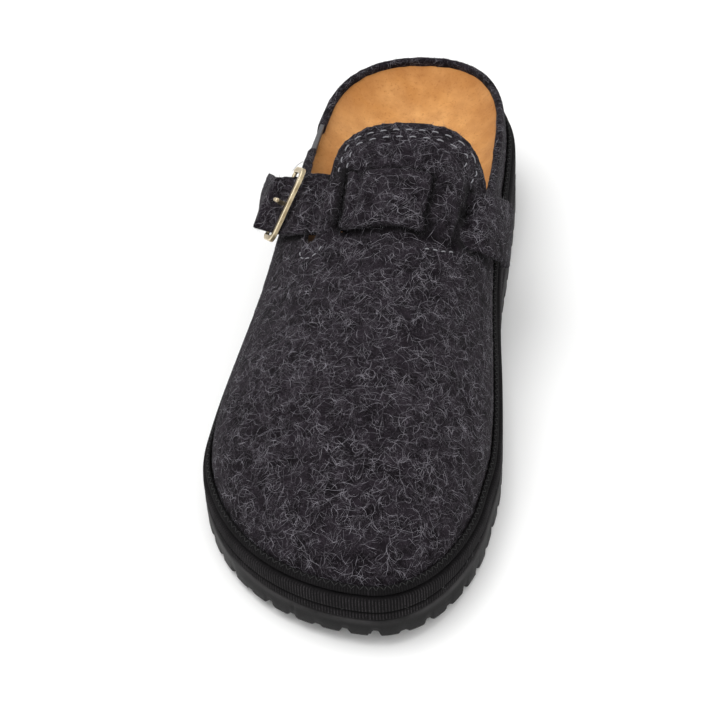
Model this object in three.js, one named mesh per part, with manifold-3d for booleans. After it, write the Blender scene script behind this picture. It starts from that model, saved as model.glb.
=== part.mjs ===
// Felt slide slipper: a closed-toe, open-back clog of wool felt on a tape-wrapped platform, with a woven instep strap.
// Right shoe, in millimetres. Toe towards -Y, heel towards +Y, the inner (medial) side towards +X, up is +Z.
// A station is a distance from the heel along the shoe. Tables hold lengths as shares of the named sizes.
import * as THREE from 'three';
import { mergeVertices } from 'three/addons/utils/BufferGeometryUtils.js';
import Module from 'manifold-3d';

// Driving sizes of the sole
const shoeLength = 285;
const ballWidth = 112;
const heelHeight = 33;
const ballHeight = 21;
const outsoleThickness = 11.5;
const toeSpring = 5;
const heelBevel = 1.5;
const archLift = 1.2;
const lugCount = 64;
const lugGap = 3.4;
const lugDepth = 3.2;
const lugReach = 7;
const tapeGroove = 0.6;
const bindingHeight = 4;
const bindingWidth = 2.3;

// Driving sizes of the upper and the footbed
const instepHeight = 84;
const feltThickness = 3;
const feltSetback = 3.7;
const sideBulge = 1.6;
const rimHeight = 18.5;
const slitWidth = 4.6;
const lateralSlitEnd = 0.505 * shoeLength;
const medialSlitEnd = 0.492 * shoeLength;
const tongueEnd = 0.352 * shoeLength;
const bandRise = 2.2;
const bandWidth = 11;
const windowDip = 0.7;
const footbedThickness = 4.5;
const cupMargin = 2.2;
const goreLength = 18;
const goreStation = 0.232 * shoeLength;
const goreDepth = 14;
const goreThickness = 1.8;
const goreRecess = 0.6;

// Driving sizes of the strap and its buckle
const strapWidth = 24;
const strapThickness = 3;
const frameAcross = 31;
const frameAlong = 12.5;
const frameBar = 2.3;
const frameThickness = 1.8;
const frameCorner = 3.4;
const frameTilt = 0.36;
const barRadius = 0.8;
const barStand = 2.5;
const prongRadius = 0.9;
const tabWidth = 13;
const tabThickness = 1;
const tabSlot = 5;
const tabTail = 7;
const clearance = 0.3;

const wasm = await Module();
wasm.setup();

// A smooth curve through one column of a table, by its first column
function column(rows, name, key = 'along') {
  const x = rows.map((row) => row[key]);
  const y = rows.map((row) => row[name]);
  const slope = y.map((value, i) => {
    const a = Math.max(i - 1, 0);
    const b = Math.min(i + 1, y.length - 1);
    return (y[b] - y[a]) / (x[b] - x[a]);
  });
  return (at) => {
    const t = Math.min(Math.max(at, x[0]), x[x.length - 1]);
    let i = 0;
    while (i < x.length - 2 && t > x[i + 1]) i += 1;
    const span = x[i + 1] - x[i];
    const u = (t - x[i]) / span;
    const rise = y[i + 1] - y[i];
    const c = slope[i] * span;
    const d = slope[i + 1] * span;
    return y[i] + u * (c + u * (3 * rise - 2 * c - d + u * (c + d - 2 * rise)));
  };
}

// Smooth step from 0 to 1 between two values
function ramp(value, low, high) {
  const t = Math.min(Math.max((value - low) / (high - low), 0), 1);
  return t * t * (3 - 2 * t);
}

// The last: the sole's edge on each side as a share of half the ball width, the ridge above the floor as a share of
// the instep height, where the ridge lies across the shoe, and how full each side of a section is (2 is an ellipse).
const last = [
  { along: 0, lateral: 0.7, medial: 0.77, ridge: 1.02, crown: 0.06, outerFullness: 2.1, innerFullness: 2.1 },
  { along: 0.1, lateral: 0.71, medial: 0.765, ridge: 1.05, crown: 0.08, outerFullness: 2.1, innerFullness: 2.2 },
  { along: 0.2, lateral: 0.75, medial: 0.79, ridge: 1.08, crown: 0.11, outerFullness: 2.05, innerFullness: 2.7 },
  { along: 0.31, lateral: 0.79, medial: 0.8, ridge: 1.1, crown: 0.15, outerFullness: 2.05, innerFullness: 3.1 },
  { along: 0.4, lateral: 0.835, medial: 0.805, ridge: 1.04, crown: 0.17, outerFullness: 1.95, innerFullness: 2.9 },
  { along: 0.5, lateral: 0.888, medial: 0.852, ridge: 0.91, crown: 0.17, outerFullness: 1.85, innerFullness: 2.35 },
  { along: 0.58, lateral: 0.935, medial: 0.905, ridge: 0.815, crown: 0.15, outerFullness: 1.87, innerFullness: 2.1 },
  { along: 0.66, lateral: 0.975, medial: 0.95, ridge: 0.76, crown: 0.13, outerFullness: 2.0, innerFullness: 2.1 },
  { along: 0.73, lateral: 0.992, medial: 0.973, ridge: 0.715, crown: 0.12, outerFullness: 2.1, innerFullness: 2.1 },
  { along: 0.8, lateral: 0.993, medial: 0.968, ridge: 0.655, crown: 0.13, outerFullness: 2.1, innerFullness: 2.15 },
  { along: 0.85, lateral: 0.979, medial: 0.984, ridge: 0.605, crown: 0.15, outerFullness: 2.1, innerFullness: 2.2 },
  { along: 1, lateral: 0.964, medial: 1.009, ridge: 0.45, crown: 0.3, outerFullness: 2.1, innerFullness: 2.2 },
];
const lateralEdge = column(last, 'lateral');
const medialEdge = column(last, 'medial');
const ridgeShare = column(last, 'ridge');
const crownShare = column(last, 'crown');
const outerFullness = column(last, 'outerFullness');
const innerFullness = column(last, 'innerFullness');

// The platform's top edge, from ball height (0) to heel height (1)
const wedge = [
  { along: 0, rise: 1 },
  { along: 0.21, rise: 0.93 },
  { along: 0.39, rise: 0.58 },
  { along: 0.53, rise: 0.25 },
  { along: 0.67, rise: 0 },
  { along: 0.82, rise: 0 },
  { along: 0.92, rise: 0.12 },
  { along: 1, rise: 0.3 },
];
const wedgeRise = column(wedge, 'rise');

// The collar's height above the felt's foot on each side, as a share of the rim height at the back
const collar = [
  { along: -0.04, lateral: 1, medial: 1 },
  { along: 0.06, lateral: 1, medial: 1 },
  { along: 0.158, lateral: 1.03, medial: 1.02 },
  { along: 0.253, lateral: 1.3, medial: 1.22 },
  { along: 0.333, lateral: 1.68, medial: 1.55 },
  { along: 0.393, lateral: 2.03, medial: 1.9 },
  { along: 0.44, lateral: 2.4, medial: 2.35 },
];

// The rounded ends of the sole's outline, and the line inside the upper that its sections lean towards
const toeRound = { length: 0.263 * shoeLength, power: 2, x: 0.147 * ballWidth };
const heelRound = { length: 0.15 * shoeLength, power: 2.2, x: 0.045 * ballWidth };
const spine = { heel: 0.13 * shoeLength, toe: 0.835 * shoeLength };
const springStart = 0.83;

function endRound(distance, end) {
  const t = Math.min(Math.max(1 - distance / end.length, 0), 1);
  return (1 - t ** end.power) ** (1 / end.power);
}

function stationAt(theta) {
  return shoeLength * (1 - Math.cos(theta)) / 2;
}

function thetaAt(station) {
  return Math.acos(1 - 2 * station / shoeLength);
}

// A point of the sole's outline: turn runs from the heel (0) along the lateral side to the toe (pi) and back
function outline(turn) {
  const lateral = Math.sin(turn) >= 0;
  const station = stationAt(turn);
  const share = station / shoeLength;
  const full = (lateral ? -lateralEdge(share) : medialEdge(share)) * ballWidth / 2;
  const afterToe = toeRound.x + (full - toeRound.x) * endRound(shoeLength - station, toeRound);
  const x = heelRound.x + (afterToe - heelRound.x) * endRound(station, heelRound);
  return { x, station };
}

function outlineInside(turn, inset) {
  const step = 0.02;
  const point = outline(turn);
  const before = outline(turn - step);
  const after = outline(turn + step);
  const dx = after.x - before.x;
  const ds = after.station - before.station;
  const size = Math.hypot(dx, ds);
  return { x: point.x + inset * ds / size, station: point.station - inset * dx / size };
}

function place(x, station, z) {
  return new THREE.Vector3(x, shoeLength / 2 - station, z);
}

function springShare(station) {
  return Math.max((station / shoeLength - springStart) / (1 - springStart), 0) ** 1.6;
}

function groundHeight(station) {
  const share = station / shoeLength;
  const heel = heelBevel * Math.max((0.05 - share) / 0.05, 0) ** 2;
  const arch = archLift * ramp(share, 0.33, 0.4) * (1 - ramp(share, 0.5, 0.57));
  return toeSpring * springShare(station) + heel + arch;
}

function outsoleTop(station) {
  return outsoleThickness + 0.45 * toeSpring * springShare(station);
}

function featherHeight(station) {
  return ballHeight + (heelHeight - ballHeight) * wedgeRise(station / shoeLength);
}

function feltFoot(station) {
  return featherHeight(station) + clearance;
}

// A closed ring of points round the sole, some way in from its edge
function soleRing(count, inset, height) {
  return Array.from({ length: count }, (unused, k) => {
    const turn = 2 * Math.PI * k / count;
    const point = outlineInside(turn, inset);
    return place(point.x, point.station, height(stationAt(turn)));
  });
}

// A mesh from points and faces, with points that coincide joined and empty faces left out
function meshFrom(points, faces) {
  const soup = new THREE.BufferGeometry();
  const flat = faces.flat().flatMap((index) => points[index].toArray());
  soup.setAttribute('position', new THREE.Float32BufferAttribute(flat, 3));
  const merged = mergeVertices(soup, 1e-3);
  const index = merged.index.array;
  const kept = [];
  for (let i = 0; i < index.length; i += 3) {
    const [a, b, c] = [index[i], index[i + 1], index[i + 2]];
    if (a !== b && b !== c && c !== a) kept.push(a, b, c);
  }
  merged.setIndex(kept);
  return merged;
}

function quad(faces, a, b, c, d) {
  faces.push([a, b, c], [a, c, d]);
}

function signedVolume(geometry) {
  const p = geometry.attributes.position;
  const index = geometry.index.array;
  const [a, b, c] = [new THREE.Vector3(), new THREE.Vector3(), new THREE.Vector3()];
  let volume = 0;
  for (let i = 0; i < index.length; i += 3) {
    a.fromBufferAttribute(p, index[i]);
    b.fromBufferAttribute(p, index[i + 1]);
    c.fromBufferAttribute(p, index[i + 2]);
    volume += a.dot(b.cross(c)) / 6;
  }
  return volume;
}

// A solid from a closed mesh, turned so that its faces point out
function solidOf(geometry) {
  const bare = geometry.clone();
  bare.deleteAttribute('normal');
  bare.deleteAttribute('uv');
  const welded = mergeVertices(bare, 1e-4);
  const triVerts = Uint32Array.from(welded.index.array);
  if (signedVolume(welded) < 0) {
    for (let i = 0; i < triVerts.length; i += 3) {
      [triVerts[i], triVerts[i + 1]] = [triVerts[i + 1], triVerts[i]];
    }
  }
  const vertProperties = Float32Array.from(welded.attributes.position.array);
  return new wasm.Manifold(new wasm.Mesh({ numProp: 3, vertProperties, triVerts }));
}

function geometryOf(solid) {
  const mesh = solid.getMesh();
  const geometry = new THREE.BufferGeometry();
  geometry.setAttribute('position', new THREE.BufferAttribute(Float32Array.from(mesh.vertProperties), 3));
  geometry.setIndex(Array.from(mesh.triVerts));
  return geometry;
}

// Joins a stack of rings into walls, the last ring also to the first where the stack is a hoop
function ringWalls(rings, closed) {
  const count = rings[0].length;
  const faces = [];
  const last = closed ? rings.length : rings.length - 1;
  for (let r = 0; r < last; r += 1) {
    const up = (r + 1) % rings.length;
    for (let k = 0; k < count; k += 1) {
      const next = (k + 1) % count;
      quad(faces, r * count + k, up * count + k, up * count + next, r * count + next);
    }
  }
  return faces;
}

// A stack of rings round the sole, closed below and above from side to side
function tower(rings) {
  const count = rings[0].length;
  const faces = ringWalls(rings, false);
  const roof = (rings.length - 1) * count;
  for (let k = 0; k < count / 2; k += 1) {
    const [a, b] = [k, k + 1];
    const [c, d] = [count - k - 1, (count - k) % count];
    quad(faces, a, b, c, d);
    quad(faces, roof + d, roof + c, roof + b, roof + a);
  }
  return solidOf(meshFrom(rings.flat(), faces));
}

function hoop(rings) {
  return solidOf(meshFrom(rings.flat(), ringWalls(rings, true)));
}

// A bar through sections, each a closed loop of points, with flat ends
function sweep(sections) {
  const count = sections[0].length;
  const faces = ringWalls(sections, false);
  const end = (sections.length - 1) * count;
  for (let k = 1; k < count - 1; k += 1) {
    faces.push([0, k, k + 1], [end, end + k + 1, end + k]);
  }
  return solidOf(meshFrom(sections.flat(), faces));
}

// The skin of the upper, from the lateral foot of the felt (angle 0) over the ridge to the medial foot (angle pi)
function skinPoint(theta, angle) {
  const lateral = angle < Math.PI / 2;
  const share = stationAt(theta) / shoeLength;
  const foot = outlineInside(lateral ? theta : 2 * Math.PI - theta, feltSetback);
  const inner = spine.heel + (spine.toe - spine.heel) * share;
  const power = 2 / (lateral ? outerFullness(share) : innerFullness(share));
  const across = Math.abs(Math.cos(angle)) ** power;
  const up = Math.max(Math.sin(angle), 0) ** power;
  const crown = crownShare(inner / shoeLength) * ballWidth / 2;
  const station = inner + (foot.station - inner) * across;
  const ridge = ridgeShare(station / shoeLength) * instepHeight;
  const base = feltFoot(stationAt(theta));
  const swell = sideBulge * Math.sin(Math.PI * Math.min(up / 0.75, 1)) ** 2;
  const fade = ramp(share, 0.2, 0.45) * (1 - ramp(share, 0.62, 0.9));
  const x = crown + (foot.x - crown) * across + (lateral ? -swell : swell) * fade;
  return place(x, station, base + (ridge - base) * up);
}

function skinNormal(theta, angle) {
  const step = 0.01;
  const margin = 0.03;
  const t = Math.min(Math.max(theta, margin), Math.PI - margin);
  const a = Math.min(Math.max(angle, margin), Math.PI - margin);
  const along = skinPoint(t + step, a).sub(skinPoint(t - step, a));
  const over = skinPoint(t, a + step).sub(skinPoint(t, a - step));
  const normal = along.cross(over);
  if (t !== theta) normal.setX(0);
  if (a !== angle) normal.setZ(0);
  return normal.normalize();
}

// A point off the skin
function skin(theta, angle, lift) {
  return skinPoint(theta, angle).addScaledVector(skinNormal(theta, angle), lift);
}

// The place on the skin that lies nearest to a point close to it
function nearestOnSkin(guess, target) {
  const step = 0.002;
  let { theta, angle } = guess;
  for (let pass = 0; pass < 5; pass += 1) {
    const here = skinPoint(theta, angle);
    const a = skinPoint(theta + step, angle).sub(here).divideScalar(step);
    const b = skinPoint(theta, angle + step).sub(here).divideScalar(step);
    const miss = target.clone().sub(here);
    const [aa, ab, bb] = [a.dot(a), a.dot(b), b.dot(b)];
    const det = aa * bb - ab * ab;
    theta += (bb * miss.dot(a) - ab * miss.dot(b)) / det;
    angle = Math.max(angle + (aa * miss.dot(b) - ab * miss.dot(a)) / det, 0.02);
    angle = Math.min(angle, Math.PI - 0.02);
  }
  return { theta, angle };
}

// The angle up from the foot of one side at which the skin reaches a height
function angleAtHeight(theta, height, side) {
  let low = 0;
  let high = Math.PI / 2;
  for (let pass = 0; pass < 30; pass += 1) {
    const middle = (low + high) / 2;
    if (skinPoint(theta, side === 'lateral' ? middle : Math.PI - middle).z < height) low = middle;
    else high = middle;
  }
  return low;
}

// The strap's route from its medial end over the instep to its lateral tip: the angle on the skin in half turns, the
// station as a share of the length, and the stand of its underside off the skin in strap thicknesses.
const strapRoute = [
  { angle: 0.99, along: 0.364, stand: 1.2 },
  { angle: 0.97, along: 0.375, stand: 1.25 },
  { angle: 0.94, along: 0.393, stand: 1.1 },
  { angle: 0.9, along: 0.414, stand: 0.95 },
  { angle: 0.86, along: 0.431, stand: 0.8 },
  { angle: 0.825, along: 0.443, stand: 0.55 },
  { angle: 0.79, along: 0.449, stand: 0.2 },
  { angle: 0.752, along: 0.457, stand: -1.1 },
  { angle: 0.71, along: 0.464, stand: -1.37 },
  { angle: 0.665, along: 0.47, stand: -1.37 },
  { angle: 0.62, along: 0.475, stand: -1.37 },
  { angle: 0.58, along: 0.479, stand: -1.2 },
  { angle: 0.545, along: 0.48, stand: -0.15 },
  { angle: 0.5, along: 0.48, stand: -0.13 },
  { angle: 0.45, along: 0.478, stand: -0.13 },
  { angle: 0.405, along: 0.475, stand: -0.13 },
  { angle: 0.372, along: 0.471, stand: -0.2 },
  { angle: 0.34, along: 0.466, stand: -1.25 },
  { angle: 0.31, along: 0.46, stand: -1.37 },
  { angle: 0.28, along: 0.453, stand: -1.15 },
  { angle: 0.25, along: 0.444, stand: 0.1 },
  { angle: 0.222, along: 0.434, stand: 0.2 },
  { angle: 0.195, along: 0.422, stand: 0.75 },
  { angle: 0.165, along: 0.406, stand: 1.82 },
  { angle: 0.135, along: 0.387, stand: 1.1 },
  { angle: 0.108, along: 0.366, stand: 0.7 },
  { angle: 0.085, along: 0.348, stand: 0.6 },
];
strapRoute.forEach((row, i) => {
  row.at = i / (strapRoute.length - 1);
});
const routeAngle = column(strapRoute, 'angle', 'at');
const routeAlong = column(strapRoute, 'along', 'at');
const routeStand = column(strapRoute, 'stand', 'at');

// Where the strap's centre runs, and its directions: along it, across it and out of the skin
function strapFrame(at) {
  const spot = (u) => ({ theta: thetaAt(routeAlong(u) * shoeLength), angle: routeAngle(u) * Math.PI });
  const here = spot(at);
  const centre = skinPoint(here.theta, here.angle);
  const [before, after] = [spot(Math.max(at - 0.01, 0)), spot(Math.min(at + 0.01, 1))];
  const along = skinPoint(after.theta, after.angle).sub(skinPoint(before.theta, before.angle)).normalize();
  const out = skinNormal(here.theta, here.angle);
  const across = out.clone().cross(along).normalize();
  return { ...here, centre, along, across, out };
}

function strapSolid(grow) {
  const steps = 44;
  const lanes = [-1, -0.36, 0.36, 1];
  const sections = [];
  for (let i = 0; i <= steps; i += 1) {
    const at = i / steps;
    const frame = strapFrame(at);
    const low = routeStand(at) * strapThickness - grow;
    const high = low + strapThickness + 2 * grow;
    const spots = lanes.map((lane) => {
      const reach = lane * (strapWidth / 2 + grow);
      return nearestOnSkin(frame, frame.centre.clone().addScaledVector(frame.across, reach));
    });
    const under = spots.map((spot) => skin(spot.theta, spot.angle, low));
    const over = spots.map((spot) => skin(spot.theta, spot.angle, high));
    sections.push(under.concat(over.reverse()));
  }
  return sweep(sections);
}

// The felt rises over the strap in the two bands beside the tongue's middle, and dips a little under it between them
const bandAngles = { lateral: 0.318 * Math.PI, medial: 0.642 * Math.PI };
const routeMiddle = 0.467 * shoeLength;

function wallLift(theta, angle) {
  const radius = 0.5 * ballWidth / 2 + 8;
  const half = bandWidth / 2 / radius;
  const soft = 0.09;
  const near = (centre) => 1 - ramp(Math.abs(angle - centre), half, half + soft);
  const from = bandAngles.lateral + half + soft;
  const to = bandAngles.medial - half - soft;
  const middle = ramp(angle, from - soft, from) * (1 - ramp(angle, to, to + soft));
  const away = Math.abs(stationAt(theta) - routeMiddle - 0.012 * shoeLength * middle);
  const zone = 1 - ramp(away, strapWidth / 2, strapWidth / 2 + 9);
  const band = Math.max(near(bandAngles.lateral), near(bandAngles.medial));
  return zone * (bandRise * band - windowDip * middle);
}

// A closed dome of the skin, in rows along the shoe and columns over it, on walls that drop from its foot. The last
// rows at heel and toe fold onto themselves, so both halves of them share one set of points.
function dome(rowCount, columnCount, inset, drop, lifted) {
  const points = [];
  const faces = [];
  const wide = columnCount + 1;
  const rows = Array.from({ length: rowCount + 1 }, (unused, i) => Math.PI * i / rowCount);
  for (const theta of rows) {
    const folds = theta === rows[0] || theta === rows[rowCount];
    for (let j = 0; j <= columnCount; j += 1) {
      const angle = Math.PI * j / columnCount;
      if (folds && j > columnCount / 2) points.push(points[points.length - 2 * j + columnCount].clone());
      else points.push(skin(theta, angle, (lifted ? wallLift(theta, angle) : 0) - inset));
    }
  }
  const base = points.length;
  for (let i = 0; i <= rowCount; i += 1) {
    for (const j of [0, columnCount]) {
      const edge = points[i * wide + j].clone();
      points.push(edge.setZ(edge.z - drop));
    }
  }
  for (let i = 0; i < rowCount; i += 1) {
    const row = i * wide;
    for (let j = 0; j < columnCount; j += 1) {
      quad(faces, row + j, row + wide + j, row + wide + j + 1, row + j + 1);
    }
    const [a, b, c, d] = [0, 1, 2, 3].map((k) => base + 2 * i + k);
    quad(faces, a, c, row + wide, row);
    quad(faces, b, row + columnCount, row + wide + columnCount, d);
    quad(faces, a, b, d, c);
  }
  return solidOf(meshFrom(points, faces));
}

// A patch of the wall between two stations and two angles, from one depth to another
function wallPatch(stations, angles, depths) {
  const [rows, columns] = [6, 6];
  const lattice = (lift) => {
    const points = [];
    for (let i = 0; i <= rows; i += 1) {
      const theta = thetaAt(stations[0] + (stations[1] - stations[0]) * i / rows);
      for (let j = 0; j <= columns; j += 1) {
        points.push(skin(theta, angles[0] + (angles[1] - angles[0]) * j / columns, lift));
      }
    }
    return points;
  };
  const faces = [];
  const wide = columns + 1;
  const far = (rows + 1) * wide;
  for (let i = 0; i < rows; i += 1) {
    for (let j = 0; j < columns; j += 1) {
      const a = i * wide + j;
      quad(faces, a, a + wide, a + wide + 1, a + 1);
      quad(faces, far + a, far + a + 1, far + a + wide + 1, far + a + wide);
    }
    const [low, high] = [i * wide, i * wide + columns];
    quad(faces, low, far + low, far + low + wide, low + wide);
    quad(faces, high, high + wide, far + high + wide, far + high);
  }
  for (let j = 0; j < columns; j += 1) {
    const [near, away] = [j, rows * wide + j];
    quad(faces, near, near + 1, far + near + 1, far + near);
    quad(faces, away, far + away, far + away + 1, away + 1);
  }
  return solidOf(meshFrom(lattice(depths[0]).concat(lattice(depths[1])), faces));
}

// A shape drawn across (x) and along (station) the shoe, as an upright prism
function planPrism(shape, low, high) {
  const prism = new THREE.ExtrudeGeometry(shape, { depth: high - low, bevelEnabled: false, curveSegments: 8 });
  return solidOf(prism.translate(0, 0, low));
}

// A shape drawn along (y) and up (z), as a prism across the shoe
function sidePrism(shape, from, to) {
  const prism = new THREE.ExtrudeGeometry(shape, { depth: to - from, bevelEnabled: false, curveSegments: 8 });
  const turn = new THREE.Matrix4().makeBasis(
    new THREE.Vector3(0, 1, 0),
    new THREE.Vector3(0, 0, 1),
    new THREE.Vector3(1, 0, 0),
  );
  return solidOf(prism.translate(0, 0, from).applyMatrix4(turn));
}

const top = 2 * instepHeight;

// Everything above the collar on one side, from behind the heel to the throat
function collarCut(side, from, to) {
  const rise = column(collar, side);
  const steps = 30;
  const [start, end] = [collar[0].along, collar[collar.length - 1].along];
  const line = Array.from({ length: steps + 1 }, (unused, i) => {
    const share = start + (end - start) * i / steps;
    const station = share * shoeLength;
    return new THREE.Vector2(shoeLength / 2 - station, feltFoot(station) + rimHeight * rise(share));
  });
  const shape = new THREE.Shape(line);
  shape.lineTo(line[steps].x, top);
  shape.lineTo(line[0].x, top);
  return sidePrism(shape, from, to);
}

// The tongue's outline from above: its sides at the slit ends and at its corners, and its rounded end
const half = ballWidth / 2;
const tongueSides = {
  lateral: { root: -0.39 * half, corner: -0.36 * half, slitEnd: lateralSlitEnd },
  medial: { root: 0.57 * half, corner: 0.7 * half, slitEnd: medialSlitEnd },
};
const tongueCorner = 0.06 * shoeLength;

function tongueShape() {
  const { lateral, medial } = tongueSides;
  const y = (station) => shoeLength / 2 - station;
  const tip = y(tongueEnd);
  const front = y(lateralSlitEnd + tongueCorner);
  const shape = new THREE.Shape();
  shape.moveTo(lateral.root, front);
  shape.lineTo(lateral.root, y(lateral.slitEnd));
  shape.lineTo(lateral.corner, tip - 0.8 * tongueCorner);
  shape.quadraticCurveTo(lateral.corner, tip, lateral.corner + 0.75 * tongueCorner, tip);
  shape.lineTo(medial.corner - 0.5 * tongueCorner, tip);
  shape.quadraticCurveTo(medial.corner, tip, medial.corner, tip - 0.6 * tongueCorner);
  shape.lineTo(medial.root, y(medial.slitEnd));
  shape.lineTo(medial.root, front);
  return shape;
}

// A slit beside the tongue, with a round end below the strap
function slitShape(sides, direction) {
  const radius = slitWidth / 2;
  const start = { x: sides.corner + direction * radius, y: shoeLength / 2 - tongueEnd - tongueCorner };
  const end = { x: sides.root + direction * radius, y: shoeLength / 2 - sides.slitEnd + radius };
  const heading = Math.atan2(end.y - start.y, end.x - start.x);
  const shape = new THREE.Shape();
  shape.absarc(end.x, end.y, radius, heading - Math.PI / 2, heading + Math.PI / 2, false);
  shape.absarc(start.x, start.y, radius, heading + Math.PI / 2, heading + 1.5 * Math.PI, false);
  return shape;
}

const group = new THREE.Group();
const shoe = new THREE.Group();
group.add(shoe);
const finishes = {
  rubber: { color: 0x17171a, roughness: 0.75, metalness: 0 },
  tape: { color: 0x0e0e10, roughness: 0.85, metalness: 0 },
  suede: { color: 0xd28e4c, roughness: 0.95, metalness: 0 },
  felt: { color: 0x2b2b31, roughness: 1, metalness: 0 },
  elastic: { color: 0x4b4c52, roughness: 0.8, metalness: 0 },
  metal: { color: 0x8a7a55, roughness: 0.35, metalness: 0.9 },
};

function add(name, solid, finish) {
  const mesh = new THREE.Mesh(geometryOf(solid), new THREE.MeshStandardMaterial(finishes[finish]));
  mesh.name = name;
  shoe.add(mesh);
}

// Outsole, with the gaps between its lugs cut round the lower edge
const ringCount = 92;

function lugGapSolid(turn) {
  const edge = outlineInside(turn, 0);
  const inside = outlineInside(turn, lugReach);
  const outside = outlineInside(turn, -2);
  const level = groundHeight(edge.station);
  const [from, to] = [place(outside.x, outside.station, level), place(inside.x, inside.station, level)];
  const sideways = to.clone().sub(from).cross(new THREE.Vector3(0, 0, 1)).normalize();
  const profile = [[-0.5, -1], [0.5, -1], [0.36, 1], [-0.36, 1]];
  return sweep([from, to].map((end) => profile.map(([u, v]) => end.clone()
    .addScaledVector(sideways, u * lugGap)
    .add(new THREE.Vector3(0, 0, v * lugDepth)))));
}

function outsoleSolid() {
  let solid = tower([
    soleRing(ringCount, 1.2, groundHeight),
    soleRing(ringCount, 0, (s) => groundHeight(s) + 1.4),
    soleRing(ringCount, 0, (s) => outsoleTop(s) - 1),
    soleRing(ringCount, 0.8, outsoleTop),
  ]);
  for (let k = 0; k < lugCount; k += 1) {
    solid = solid.subtract(lugGapSolid(2 * Math.PI * (k + 0.5) / lugCount));
  }
  return solid;
}

// Midsole: the wedge platform, wrapped in tape with a groove along its side
function midsoleSolid() {
  const foot = (s) => outsoleTop(s) + clearance;
  const between = (share) => (s) => foot(s) + share * (featherHeight(s) - foot(s));
  return tower([
    soleRing(ringCount, 0.6, foot),
    soleRing(ringCount, 0, (s) => foot(s) + 0.7),
    soleRing(ringCount, 0, between(0.36)),
    soleRing(ringCount, tapeGroove, between(0.42)),
    soleRing(ringCount, 0, between(0.48)),
    soleRing(ringCount, 0, (s) => featherHeight(s) - 0.9),
    soleRing(ringCount, 0.9, featherHeight),
  ]);
}

// Binding: the ribbed strip round the foot of the felt
function bindingSolid() {
  const inner = feltSetback - clearance;
  return hoop([
    soleRing(ringCount, inner - bindingWidth, feltFoot),
    soleRing(ringCount, inner - bindingWidth + 0.5, (s) => feltFoot(s) + 0.7 * bindingHeight),
    soleRing(ringCount, inner - 0.3 * bindingWidth, (s) => feltFoot(s) + bindingHeight),
    soleRing(ringCount, inner, (s) => feltFoot(s) + 0.9 * bindingHeight),
    soleRing(ringCount, inner, feltFoot),
  ]);
}

// Footbed: fills the foot of the upper, with a dished top whose edge climbs the felt round the heel
function footbedEdge(share) {
  const forefoot = footbedThickness + 1;
  return forefoot + (rimHeight - cupMargin - forefoot) * (1 - ramp(share, 0.28, 0.6));
}

function footbedRing(rise, reach) {
  const count = 60;
  return Array.from({ length: count }, (unused, k) => {
    const turn = 2 * Math.PI * k / count;
    const theta = turn <= Math.PI ? turn : 2 * Math.PI - turn;
    const share = stationAt(theta) / shoeLength;
    const side = turn < Math.PI ? 'lateral' : 'medial';
    const edge = footbedEdge(share);
    const angle = rise * angleAtHeight(theta, feltFoot(stationAt(theta)) + edge, side);
    const wall = skin(theta, side === 'lateral' ? angle : Math.PI - angle, -feltThickness - clearance);
    if (reach === 1) return wall;
    const inner = spine.heel + (spine.toe - spine.heel) * share;
    const hub = place(crownShare(inner / shoeLength) * half, inner, 0);
    const point = hub.lerp(wall, reach);
    const floor = featherHeight(shoeLength / 2 - point.y) + footbedThickness;
    return point.setZ(floor + (edge - footbedThickness) * reach ** 4);
  });
}

function footbedSolid() {
  return tower([
    footbedRing(0, 1),
    footbedRing(0.5, 1),
    footbedRing(1, 1),
    footbedRing(1, 0.94),
    footbedRing(1, 0.82),
    footbedRing(1, 0.62),
    footbedRing(1, 0.34),
  ]);
}

// Buckle: a flat frame whose front bar lies over the strap and whose round heel bar lies under it
const buckleAt = 23 / (strapRoute.length - 1);

function buckleMatrix(tilt, x = 0, y = 0, z = 0) {
  const { centre, along, across, out } = strapFrame(buckleAt);
  const seat = centre.addScaledVector(out, barStand);
  const matrix = new THREE.Matrix4().makeBasis(along, across, out).setPosition(seat);
  const turn = new THREE.Matrix4().makeRotationY(tilt).multiply(new THREE.Matrix4().makeTranslation(x, y, z));
  return matrix.multiply(turn);
}

function roundedShape(from, to, width, corner) {
  const [low, high, side] = [from + corner, to - corner, width / 2 - corner];
  const shape = new THREE.Shape();
  shape.absarc(low, -side, corner, Math.PI, 1.5 * Math.PI, false);
  shape.absarc(high, -side, corner, 1.5 * Math.PI, 2 * Math.PI, false);
  shape.absarc(high, side, corner, 0, Math.PI / 2, false);
  shape.absarc(low, side, corner, Math.PI / 2, Math.PI, false);
  return shape;
}

function extruded(shape, depth, matrix) {
  const prism = new THREE.ExtrudeGeometry(shape, { depth, bevelEnabled: false, curveSegments: 5 });
  return solidOf(prism.applyMatrix4(matrix));
}

function buckleFrameSolid() {
  const [front, back] = [frameBar / 2 - frameAlong, frameBar / 2];
  const opening = frameAcross - 2 * frameBar;
  const shape = roundedShape(front, back, frameAcross, frameCorner);
  shape.holes.push(roundedShape(front + frameBar, back - frameBar, opening, frameCorner / 2));
  const ring = extruded(shape, frameThickness, buckleMatrix(frameTilt, 0, 0, -frameThickness / 2));
  const notch = new THREE.BoxGeometry(2 * frameBar, opening, 2 * frameThickness);
  const bar = new THREE.CylinderGeometry(barRadius, barRadius, opening + frameBar, 8);
  return ring
    .subtract(solidOf(notch.applyMatrix4(buckleMatrix(frameTilt))))
    .add(solidOf(bar.applyMatrix4(buckleMatrix(0))));
}

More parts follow.
